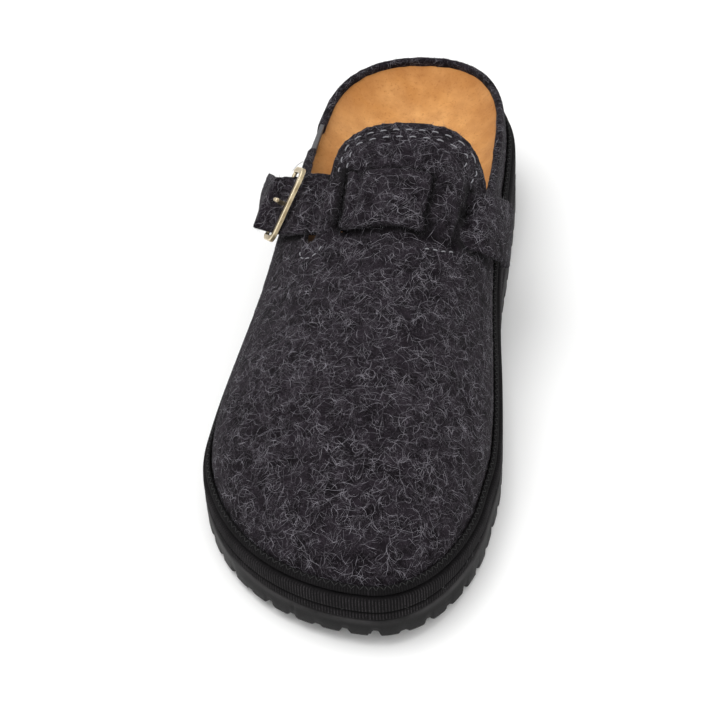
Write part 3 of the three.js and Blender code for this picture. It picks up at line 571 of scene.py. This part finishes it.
# Felt fibres: thin curling lines in clumps over a clouded ground, as a colour and a height.
felt_lines = bpy.data.node_groups.new("felt_fibres", "ShaderNodeTree")
felt_inputs = [("Vector", "NodeSocketVector", None), ("Density", "NodeSocketFloat", 1.0),
               ("Ground", "NodeSocketColor", felt_ground), ("Heather", "NodeSocketColor", felt_grey),
               ("Fibre", "NodeSocketColor", felt_pale)]
for label, kind, start in felt_inputs:
    socket = felt_lines.interface.new_socket(label, in_out="INPUT", socket_type=kind)
    if start is not None:
        socket.default_value = start
felt_lines.interface.new_socket("Color", in_out="OUTPUT", socket_type="NodeSocketColor")
felt_lines.interface.new_socket("Height", in_out="OUTPUT", socket_type="NodeSocketFloat")
entry, leave = felt_lines.nodes.new("NodeGroupInput"), felt_lines.nodes.new("NodeGroupOutput")
all_lines = None
for scale, width, turn in ((330.0, 0.016, 0.3), (460.0, 0.018, 1.4), (610.0, 0.02, 2.3), (820.0, 0.024, 0.9)):
    turned = node_in(felt_lines, "ShaderNodeMapping", {
        "Vector": entry.outputs["Vector"], "Location": (turn, -turn * 0.7, turn * 0.4),
        "Rotation": (turn, turn * 0.6, -turn)})
    wool = node_in(felt_lines, "ShaderNodeTexNoise", {
        "Vector": turned.outputs["Vector"], "Scale": scale, "Detail": 1.2, "Roughness": 0.45,
        "Distortion": 0.9})
    middle = node_in(felt_lines, "ShaderNodeMath", {0: wool.outputs["Fac"], 1: 0.5}, operation="SUBTRACT")
    off = node_in(felt_lines, "ShaderNodeMath", {0: middle.outputs["Value"]}, operation="ABSOLUTE")
    line = node_in(felt_lines, "ShaderNodeMapRange", {
        "Value": off.outputs["Value"], "From Min": 0.0, "From Max": width, "To Min": 1.0, "To Max": 0.0})
    clump = node_in(felt_lines, "ShaderNodeTexNoise", {
        "Vector": turned.outputs["Vector"], "Scale": scale * 0.36, "Detail": 2.0})
    here = node_in(felt_lines, "ShaderNodeMapRange", {
        "Value": clump.outputs["Fac"], "From Min": 0.44, "From Max": 0.66})
    one = node_in(felt_lines, "ShaderNodeMath", {0: line.outputs["Result"], 1: here.outputs["Result"]},
                  operation="MULTIPLY")
    if all_lines is None:
        all_lines = one.outputs["Value"]
    else:
        all_lines = node_in(felt_lines, "ShaderNodeMath", {0: all_lines, 1: one.outputs["Value"]},
                            operation="MAXIMUM").outputs["Value"]
shown = node_in(felt_lines, "ShaderNodeMath", {0: all_lines, 1: entry.outputs["Density"]},
                operation="MULTIPLY")
shown.use_clamp = True
cloud = node_in(felt_lines, "ShaderNodeTexNoise", {
    "Vector": entry.outputs["Vector"], "Scale": 170.0, "Detail": 5.0, "Roughness": 0.7})
cloud_mask = node_in(felt_lines, "ShaderNodeMapRange", {
    "Value": cloud.outputs["Fac"], "From Min": 0.38, "From Max": 0.66})
ground_colour = two_tone(felt_lines, cloud_mask.outputs["Result"], entry.outputs["Ground"],
                         entry.outputs["Heather"])
colour = two_tone(felt_lines, shown.outputs["Value"], ground_colour, entry.outputs["Fibre"])
height = node_in(felt_lines, "ShaderNodeMath", {0: cloud.outputs["Fac"], 1: shown.outputs["Value"]},
                 operation="ADD")
felt_lines.links.new(colour, leave.inputs["Color"])
felt_lines.links.new(height.outputs["Value"], leave.inputs["Height"])


def felt_finish(name, density, ground_tone, heather, fibre):
    material, tree, shader = new_material(name)
    place = tree.nodes.new("ShaderNodeTexCoord")
    wool = tree.nodes.new("ShaderNodeGroup")
    wool.node_tree = felt_lines
    tree.links.new(place.outputs["Object"], wool.inputs["Vector"])
    wool.inputs["Density"].default_value = density
    wool.inputs["Ground"].default_value = ground_tone
    wool.inputs["Heather"].default_value = heather
    wool.inputs["Fibre"].default_value = fibre
    # Painted shade: the attribute darkens the felt where another piece lies close, as a contact shadow.
    contact_shade = node_in(tree, "ShaderNodeAttribute", attribute_name="contact_shade")
    tree.links.new(two_tone(tree, contact_shade.outputs["Fac"], wool.outputs["Color"], contact_shade_dark),
                   shader.inputs["Base Color"])
    shader.inputs["Roughness"].default_value = 1.0
    shader.inputs["Specular IOR Level"].default_value = 0.08
    shader.inputs["Sheen Weight"].default_value = 0.02
    shader.inputs["Sheen Roughness"].default_value = 0.5
    bumped(tree, shader, wool.outputs["Height"], 0.7, 0.0004)
    return material


def roughen(piece, relief, size):
    """Pushes a felt surface in and out a little, in soft lumps and fine nap."""
    points, normals = points_of(piece), points_of(piece, "normal")
    spots = [Vector(spot) for spot in points * size]
    lumps = np.array([noise.noise(spot) + 0.5 * noise.noise(spot * 3.7) for spot in spots])
    away = ((points - [0.004, 0, 0.03]) * normals)[:, :2].sum(1) + 0.4 * (points[:, 2] - 0.03) * normals[:, 2]
    calm = np.where(away < 0, 0.15, 1.0)
    move_points(piece, points + normals * (lumps * calm)[:, None] * relief)


def from_line(points, line):
    """How far in mm each point lies from a line in plan."""
    flat = points[:, :2] * 1000
    nearest = np.full(len(flat), 1e9)
    for a, b in zip(np.array(line[:-1], float), np.array(line[1:], float)):
        t = np.clip(((flat - a) @ (b - a)) / ((b - a) @ (b - a)), 0, 1)[:, None]
        nearest = np.minimum(nearest, np.linalg.norm(flat - a - t * (b - a), axis=1))
    return nearest


def press_in(piece, line, width, depth):
    """Presses a soft valley into the upward side of a felt piece, along a line in plan on the instep."""
    points, normals = points_of(piece), points_of(piece, "normal")
    upward = (normals[:, 2] > 0.15) * (points[:, 2] > 0.05)
    amount = (1 - soft_step(from_line(points, line), 0.2 * width, width)) * upward
    move_points(piece, points - normals * amount[:, None] * depth * 0.001)


def surface_of(piece):
    mesh = piece.data
    mesh.calc_loop_triangles()
    faces = [tuple(t.vertices) for t in mesh.loop_triangles]
    return BVHTree.FromPolygons([v.co.copy() for v in mesh.vertices], faces)


outer_slit = [(-5.4, 27), (-6.2, 23.8), (-7.6, 9.2), (-9.3, -2.4)]
inner_slit = [(38.8, 31), (34.1, 9.9), (31.8, -2.8)]
front_slit = [(-9.3, -2.6), (0.9, -4.6), (11.3, -6.2), (21.4, -6.2), (31, -4)]
upper = soft_copy("upper", "felt_upper", 1.05, 34)
press_in(upper, outer_slit, 2.8, 1.7)
press_in(upper, inner_slit, 2.4, 1.3)
press_in(upper, front_slit, 2.6, 1.2)
roughen(upper, 0.00016, 260.0)
upper_felt = felt_finish("charcoal_felt", 0.85, felt_ground, felt_grey, felt_pale)
upper.data.materials.append(upper_felt)
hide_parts("upper")
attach(upper, "root")

upper_surface = surface_of(upper)

# Tongue and slit stitching: two rows of light grey thread run round the tongue, in stitches of about 3 mm. A
# short U of the same thread stops the outer slit from tearing, and a short row does so at the inner one.

thread_grey = (0.30, 0.30, 0.32, 1)
thread_shaded = (0.15, 0.15, 0.165, 1)
thread_radius = 0.00024
tongue_stitch = 2.9
slit_stitch = 1.8
tongue_tip = 0.352 * shoe_length
tongue_sides = (-0.36 * ball_width / 2, 0.7 * ball_width / 2)
tongue_round = 0.06 * shoe_length


def bend_between(a, b, c, count=14):
    """Points of a quarter bend from a to c, pulled towards b."""
    a, b, c = (np.array(p, float) for p in (a, b, c))
    t = np.linspace(0, 1, count)[:, None]
    return (1 - t) ** 2 * a + 2 * t * (1 - t) * b + t ** 2 * c


def tongue_line(inset, reach):
    """The tongue's edge in plan, some way in, from the outer side round its tip to the inner side."""
    left, right = tongue_sides
    line = np.concatenate([
        [(left - 0.4, tongue_tip + reach)],
        bend_between((left, tongue_tip + 0.8 * tongue_round), (left, tongue_tip),
                     (left + 0.75 * tongue_round, tongue_tip)),
        bend_between((right - 0.5 * tongue_round, tongue_tip), (right, tongue_tip),
                     (right, tongue_tip + 0.6 * tongue_round)),
        [(right - 1.6, tongue_tip + reach)],
    ])
    tangent = np.gradient(line, axis=0)
    tangent /= np.linalg.norm(tangent, axis=1, keepdims=True)
    inward = np.stack([-tangent[:, 1], tangent[:, 0]], 1)
    return line + inset * inward


def lay_stitches(line, stitch, gap):
    """Threads along a line in plan (x, station), dropped on the felt, each sinking at both ends."""
    run = np.concatenate([[0], np.cumsum(np.linalg.norm(np.diff(line, axis=0), axis=1))])
    paths = []
    start = 0.0
    while start + stitch < run[-1]:
        path = []
        for u, rise in ((0.0, -0.25), (0.2, 0.2), (0.5, 0.34), (0.8, 0.2), (1.0, -0.25)):
            x = np.interp(start + u * stitch, run, line[:, 0])
            station = np.interp(start + u * stitch, run, line[:, 1])
            top = Vector(((x + shoe_shift) * 0.001, (shoe_length / 2 - station) * 0.001, 0.2))
            hit, normal, _, _ = upper_surface.ray_cast(top, Vector((0, 0, -1)))
            if hit is None:
                break
            path.append(hit + normal * rise * 0.001)
        if len(path) == 5:
            paths.append(path)
        start += stitch + gap
    return paths


def slit_line(x, station, radius):
    """A U round the front end of a slit."""
    turn = np.linspace(-0.1, math.pi + 0.1, 24)
    return np.stack([x - radius * np.cos(turn), station + radius * np.sin(turn)], 1)


stitch_paths = lay_stitches(tongue_line(4.0, 18.0), tongue_stitch, 2.1)
stitch_paths += lay_stitches(tongue_line(7.3, 17.0), tongue_stitch, 2.3)
stitch_paths += lay_stitches(slit_line(-23.3, 146.1, 4.6), slit_stitch, 1.0)
stitch_paths += lay_stitches(np.array([(20.5, 151.5), (26.0, 150.2), (31.5, 147.0)]), slit_stitch, 1.3)
for row in (5.6, 6.6, 7.6):
    stitch_paths += lay_stitches(np.array([(row, 3.9), (row + 0.2, 6.5)]), 2.4, 3.0)
stitches = thread_mesh("tongue_stitches", stitch_paths, thread_radius, 6)
grey_thread, tree, shader = new_material("grey_thread")
fine = grained(tree, 400.0, 3200.0)
tree.links.new(two_tone(tree, fine.outputs["Speckle mask"], thread_shaded, thread_grey),
               shader.inputs["Base Color"])
shader.inputs["Roughness"].default_value = 0.75
bumped(tree, shader, fine.outputs["Height"], 0.4, 0.00008)
stitches.data.materials.append(grey_thread)
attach(stitches, "root")

# Elastic gore: a short piece of smooth grey elastic webbing let into the outer side of the collar, between
# the heel rim and the quarter, so that the opening gives. Its cords run up and down.

gore_grey = (0.035, 0.034, 0.038, 1)
gore_pale = (0.1, 0.1, 0.108, 1)
gore_tuck = 1.13
gore = soft_copy("elastic_gore", "elastic_webbing", 0.45, 10)
gore_middle = points_of(gore).mean(0)
move_points(gore, gore_middle + (points_of(gore) - gore_middle) * [1.05, gore_tuck, 1.0])
webbing, tree, shader = new_material("grey_elastic")
place = tree.nodes.new("ShaderNodeTexCoord")
cords = node_in(tree, "ShaderNodeTexWave", {
    "Vector": place.outputs["Object"], "Scale": 380.0, "Distortion": 0.6, "Detail": 1.0},
    wave_type="BANDS", bands_direction="Y")
fine = grained(tree, 160.0, 2400.0)
tone = node_in(tree, "ShaderNodeMath", {0: cords.outputs["Fac"], 1: 0.6}, operation="MULTIPLY")
tree.links.new(two_tone(tree, tone.outputs["Value"], gore_grey, gore_pale), shader.inputs["Base Color"])
shader.inputs["Roughness"].default_value = 0.6
shader.inputs["Sheen Weight"].default_value = 0.1
relief = node_in(tree, "ShaderNodeMath", {0: fine.outputs["Speckle mask"], 1: 0.3, 2: cords.outputs["Fac"]},
                 operation="MULTIPLY_ADD")
bumped(tree, shader, relief.outputs["Value"], 0.6, 0.0003)
gore.data.materials.append(webbing)
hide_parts("elastic_gore")
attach(gore, "root")

# Strap: a flat band of the same felt, 24 mm wide. It is woven down through four slits of the upper, so that a
# square of it shows in the middle of the instep, and its outer end passes through the buckle. Its edges are
# cut and left raw.

buckle_slide = np.array([3.0, -1.5, 1.7])
end_lift = math.radians(13)
end_tuck = 5.0
end_drop = 5.0
frame_lift = 1.75
frame_along = 12.5
frame_bar = 2.3
bow_heelward = 1.8
bow_more_at_rear = 2.4
bow_up = 0.7
strap_grey = (0.018, 0.0142, 0.0186, 1)


def buckle_axes():
    """The frame's front bar: a point on it in metres, and the ways along it, to the heel bar and up."""
    points = np.array([v.co[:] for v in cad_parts["buckle_frame"].data.vertices])
    middle = (points.max(0) + points.min(0)) / 2
    ways = np.linalg.svd(points - points.mean(0), full_matrices=False)[2]
    along = ways[0] * np.sign(ways[0][1])
    out, up = ways[1] * -np.sign(ways[1][2]), ways[2] * np.sign(ways[2][2])
    return middle - out * (frame_along - frame_bar) / 2 * 0.001, along, out, up


bar_at, bar_along, bar_out, bar_up = buckle_axes()


def lifted(points, at, amount):
    """Turns points up about a line along the front bar, by the buckle's lift times amount."""
    offset = points - at
    v, u, w = offset @ bar_along, offset @ bar_out, offset @ bar_up
    turn = end_lift * amount
    u, w = u * np.cos(turn) - w * np.sin(turn), u * np.sin(turn) + w * np.cos(turn)
    return at + v[:, None] * bar_along + u[:, None] * bar_out + w[:, None] * bar_up


strap = soft_copy("strap", "felt_strap", 0.7, 14)
places = points_of(strap)
out_run = (places - bar_at - buckle_slide * 0.001) @ bar_out * 1000
outer_end = (places[:, 0] < -0.026) & (places[:, 2] > 0.04)
far_out = (outer_end * soft_step(out_run, 3, 14) * 0.001)[:, None]
heelward = soft_step((places - bar_at) @ bar_along * 1000, -11, 11)[:, None]
places = places - far_out * (bar_out * end_tuck * (1.6 - 0.8 * heelward) + bar_along * end_drop * heelward)
raised = lifted(places, bar_at + buckle_slide * 0.001, soft_step(out_run, -2, 3))
places = np.where(outer_end[:, None], raised, places)
across = -places[:, 0] * 1000
bow = soft_step(across, 8, 17) * (1 - 0.7 * soft_step(across, 22, 34))
rear = soft_step(places[:, 1] * 1000, -2, 24)
places[:, 1] += bow * (bow_heelward + bow_more_at_rear * rear) * 0.001
places[:, 2] += bow * bow_up * 0.001
move_points(strap, places)
press_in(strap, outer_slit, 2.8, 1.7)
press_in(strap, inner_slit, 2.2, 1.0)
roughen(strap, 0.00012, 300.0)


# How dark the painted contact shadow gets where two felt pieces touch.
contact_shade_most = 0.85


def paint_contact_shade(piece, other, near, far):
    """Paints shade on a felt piece where it lies against or near another one, as a painted contact shadow."""
    surface = surface_of(other)
    gaps = [surface.find_nearest(Vector(p), far * 0.001)[3] for p in points_of(piece)]
    gaps = np.array([far if gap is None else gap * 1000 for gap in gaps])
    paint(piece, "contact_shade", contact_shade_most * (1 - soft_step(gaps, near, far)))


# Painted contact shadow on the upper around the strap, and on the strap where it lies on the upper.
paint_contact_shade(upper, strap, 0.9, 3.6)
paint_contact_shade(strap, upper, 0.5, 1.9)
strap.data.materials.append(felt_finish("strap_felt", 0.85, felt_ground, strap_grey, felt_pale))
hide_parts("strap")
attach(strap, "root")

# Buckle: a flat frame with rounded corners, cast and plated in antique brass, worn bright along its edges.
# Its front bar lies over the strap and its round heel bar under it, held by a thin felt tab, with a prong up
# through the strap.

brass_deep = (0.30, 0.23, 0.13, 1)
brass_bright = (0.80, 0.70, 0.50, 1)
prong_shift = -4.0 * bar_out - 0.5 * bar_up


def antique(name, deep, bright):
    material, tree, shader = new_material(name)
    fine = grained(tree, 220.0, 1800.0)
    worn = node_in(tree, "ShaderNodeAttribute", attribute_name="worn")
    mask = node_in(tree, "ShaderNodeMath", {0: fine.outputs["Cloud mask"], 1: 0.35, 2: worn.outputs["Fac"]},
                   operation="MULTIPLY_ADD")
    mask.use_clamp = True
    tree.links.new(two_tone(tree, mask.outputs["Value"], deep, bright), shader.inputs["Base Color"])
    shader.inputs["Metallic"].default_value = 0.95
    polish = node_in(tree, "ShaderNodeMapRange", {
        "Value": mask.outputs["Value"], "To Min": 0.46, "To Max": 0.2})
    tree.links.new(polish.outputs["Result"], shader.inputs["Roughness"])
    bumped(tree, shader, fine.outputs["Height"], 0.2, 0.00008)
    return material


def curl_of(piece):
    """How sharply the surface turns at each point of a piece."""
    normals = points_of(piece, "normal")
    pairs = np.empty(len(piece.data.edges) * 2, dtype=np.int64)
    piece.data.edges.foreach_get("vertices", pairs)
    turned = 1 - np.einsum("ij,ij->i", normals[pairs[0::2]], normals[pairs[1::2]])
    return np.bincount(pairs, np.repeat(turned, 2), len(normals))


def wear_edges(piece):
    """Marks where a metal piece turns sharply, for the plating to be worn there."""
    curl = curl_of(piece)
    paint(piece, "worn", np.clip(curl / np.percentile(curl, 92), 0, 1))


for node, name, slot_name, shift in (("buckle_frame", "buckle_bars", "buckle_metal", 0 * bar_up),
                                     ("buckle_prong", "buckle_pin", "prong_metal", prong_shift)):
    metal = soft_copy(node, name, 0.22, 8)
    move_points(metal, lifted(points_of(metal), bar_at, frame_lift) + (buckle_slide + shift) * 0.001)
    wear_edges(metal)
    metal.data.materials.append(antique(slot_name, brass_deep, brass_bright))
    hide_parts(node)
    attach(metal, "root")
tab = soft_copy("buckle_tab", "felt_tab", 0.3, 6)
heel_bar_run = (points_of(tab) - bar_at) @ bar_out * 1000
follow = (1 - soft_step(heel_bar_run, frame_along, frame_along + 9))[:, None]
raised = lifted(points_of(tab), bar_at, frame_lift) + buckle_slide * 0.001
move_points(tab, points_of(tab) * (1 - follow) + raised * follow)
tab.data.materials.append(felt_finish("tab_felt", 0.7, felt_ground, felt_grey, felt_pale))
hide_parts("buckle_tab")
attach(tab, "root")

# Loose wool: pale and grey fibres that lie tangled over the felt and the strap, a few millimetres long, the
# short fuzz that stands off the raw edges of both, and one longer hair beside the collar. They were never
# woven or glued, but are felted in.

fibre_dark, fibre_pale = (0.045, 0.04, 0.047, 1), (0.30, 0.285, 0.32, 1)
fuzz_dark, fuzz_pale = (0.02, 0.018, 0.021, 1), (0.15, 0.145, 0.16, 1)
fibre_widths = (0.045, 0.11)
fuzz_reach = 0.85
hair_radius = 0.00011

def lay_fibres(name, piece, count, seed, widths):
    """Flat curling wool fibres over a felt piece, each following its surface."""
    rng = np.random.default_rng(seed)
    mesh, surface = piece.data, surface_of(piece)
    corners = np.array([t.vertices[:] for t in mesh.loop_triangles])
    areas = np.array([t.area for t in mesh.loop_triangles])
    co = points_of(piece)
    middles = co[corners].mean(1)
    # Fewer fibres are laid where the painted contact shadow lies.
    contact_shade = np.empty(len(co))
    mesh.attributes["contact_shade"].data.foreach_get("value", contact_shade)
    areas = areas * np.clip(1 - 1.3 * contact_shade[corners].mean(1), 0, 1) ** 2
    picks = rng.choice(len(corners), size=count, p=areas / areas.sum())
    points, faces = [], []
    for pick in picks:
        spot, normal, _, _ = surface.find_nearest(Vector(middles[pick]))
        ahead = normal.cross(Vector(rng.normal(size=3))).normalized()
        bend, drift = float(rng.normal(0, 0.19)), float(rng.normal(0, 0.04))
        steps = int(rng.integers(4, 10))
        stride = float(rng.uniform(0.6, 1.05)) * 0.001
        width = float(rng.uniform(*widths)) * 0.001
        lift = float(rng.uniform(0.03, 0.22)) * 0.001
        base = len(points)
        for i in range(steps + 1):
            aside = normal.cross(ahead).normalized()
            taper = 0.35 + 0.65 * math.sin(math.pi * min(max(i / steps, 0.06), 0.94))
            arch = lift * (0.4 + math.sin(math.pi * i / steps))
            middle = spot + normal * arch
            points += [middle - aside * width * taper / 2, middle + aside * width * taper / 2]
            turn = bend + drift * i + float(rng.normal(0, 0.16))
            ahead = (ahead * math.cos(turn) + aside * math.sin(turn)).normalized()
            found, normal_next, _, _ = surface.find_nearest(spot + ahead * stride)
            if normal_next.dot(normal) < 0.2:
                break
            spot, normal = found, normal_next
            ahead = (ahead - normal * ahead.dot(normal)).normalized()
        for i in range((len(points) - base) // 2 - 1):
            a = base + 2 * i
            faces.append((a, a + 1, a + 3, a + 2))
    return mesh_piece(name, points, faces)


def fibre_finish(name, dark, pale):
    material, tree, shader = new_material(name)
    fine = grained(tree, 320.0, 700.0)
    tree.links.new(two_tone(tree, fine.outputs["Cloud mask"], dark, pale), shader.inputs["Base Color"])
    shader.inputs["Roughness"].default_value = 0.85
    shader.inputs["Specular IOR Level"].default_value = 0.25
    return material


def raw_edge_fuzz(name, piece, count, seed, reach):
    """Short fibres that stand off a felt piece, most of them at its cut edges."""
    rng = np.random.default_rng(seed)
    co, normals = points_of(piece), points_of(piece, "normal")
    chance = np.clip(curl_of(piece), 0, 0.5) ** 1.2 + 0.004
    picks = rng.choice(len(co), size=count, p=chance / chance.sum())
    paths = []
    for pick in picks:
        spot, out = Vector(co[pick]), Vector(normals[pick])
        sway = Vector(rng.normal(size=3)) * 0.55
        length = float(rng.gamma(2.0, reach / 2.0)) * 0.001
        ahead = (out + sway).normalized()
        bent = (ahead + Vector(rng.normal(size=3)) * 0.5).normalized()
        halfway = spot + ahead * length * 0.5
        paths.append([spot - out * 0.0002, halfway, halfway + bent * length * 0.5])
    points, faces = [], []
    for path in paths:
        base = len(points)
        for i, spot in enumerate(path):
            aside = (path[1] - path[0]).cross(Vector((0.2, 0.5, 0.8))).normalized()
            half = (0.00004, 0.00004, 0.000015)[i]
            points += [spot - aside * half, spot + aside * half]
        faces += [(base, base + 1, base + 3, base + 2), (base + 2, base + 3, base + 5, base + 4)]
    return mesh_piece(name, points, faces)


fibre_tone = fibre_finish("pale_fibre", fibre_dark, fibre_pale)
fuzz_tone = fibre_finish("fuzz_fibre", fuzz_dark, fuzz_pale)
for felt, slot_name, name, fibre_count, fuzz_count, seed in ((upper, "felt", "felt", 14000, 9000, 11),
                                                             (strap, "strap_felt", "strap", 1900, 2600, 31)):
    fibres = lay_fibres(name + "_fibres", felt, fibre_count, seed, fibre_widths)
    fibres.data.materials.append(fibre_tone)
    fuzz = raw_edge_fuzz(name + "_fuzz", felt, fuzz_count, seed + 12, fuzz_reach)
    fuzz.data.materials.append(fuzz_tone)
    for piece in (fibres, fuzz):
        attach(piece, "root")

loose_start = upper_surface.find_nearest(Vector((-0.0355, 0.054, 0.059)))[0]
loose_bends = [(0, 0, 0), (-1.2, -0.4, 0.1), (-3.0, -2.0, -0.6), (-4.6, -4.2, -1.8)]
loose_path = [loose_start + Vector(bend) * 0.001 for bend in loose_bends]
loose_hair = thread_mesh("loose_hair", [loose_path], hair_radius)
loose_hair.data.materials.append(fuzz_tone)
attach(loose_hair, "root")

# Stage: a pale floor that runs out of view, a bright even surround and two large soft lights, the stronger
# from the upper left. The camera looks down on the toe from a little to the inner side.

floor_low, floor_high = (0.92, 0.92, 0.915, 1), (0.94, 0.94, 0.935, 1)
surround_strength = 0.86
key_power, fill_power = 10, 3
light_size = 1.1
light_aim = (0, 0, 0.03)
camera_swing = math.radians(3.9)
camera_lens = 122.1

floor = mesh_piece("floor", [(-4, -4, 0), (4, -4, 0), (4, 4, 0), (-4, 4, 0)], [(0, 1, 2, 3)])
floor_finish, tree, shader = new_material("pale_floor")
fine = grained(tree, 3.0, 60.0)
tree.links.new(two_tone(tree, fine.outputs["Cloud mask"], floor_low, floor_high), shader.inputs["Base Color"])
shader.inputs["Roughness"].default_value = 0.9
floor.data.materials.append(floor_finish)

world = bpy.data.worlds.new("bright_surround")
bpy.context.scene.world = world
world.use_nodes = True
background = world.node_tree.nodes["Background"]
background.inputs["Color"].default_value = (1, 1, 1, 1)
background.inputs["Strength"].default_value = surround_strength


def soft_light(name, place, aim, size, power):
    lamp = bpy.data.lights.new(name, "AREA")
    lamp.shape = "DISK"
    lamp.size = size
    lamp.energy = power
    light = bpy.data.objects.new(name, lamp)
    light.location = place
    light.rotation_mode = "QUATERNION"
    light.rotation_quaternion = (Vector(aim) - Vector(place)).to_track_quat("-Z", "Y")
    bpy.context.scene.collection.objects.link(light)


soft_light("key", (-0.34, -0.1, 1.3), light_aim, light_size, key_power)
soft_light("fill", (0.7, -0.9, 0.9), light_aim, light_size, fill_power)

eye = Vector((0.1249, -0.6918, 0.6644))
ahead = (Vector((0.0573, 0.0099, 0.0)) - eye).normalized()
aside = ahead.cross(Vector((0, 0, 1))).normalized()
upward = aside.cross(ahead)
ahead = (ahead * math.cos(camera_swing) - aside * math.sin(camera_swing)).normalized()
aside = ahead.cross(upward).normalized()
camera = bpy.data.objects.new("camera", bpy.data.cameras.new("camera"))
camera.data.sensor_width = 36
camera.data.lens = camera_lens
camera.data.clip_start = 0.05
camera.rotation_mode = "QUATERNION"
camera.rotation_quaternion = Matrix((aside, upward, -ahead)).transposed().to_quaternion()
camera.location = eye
bpy.context.scene.collection.objects.link(camera)
bpy.context.scene.camera = camera
bpy.context.scene.view_settings.view_transform = "Standard"
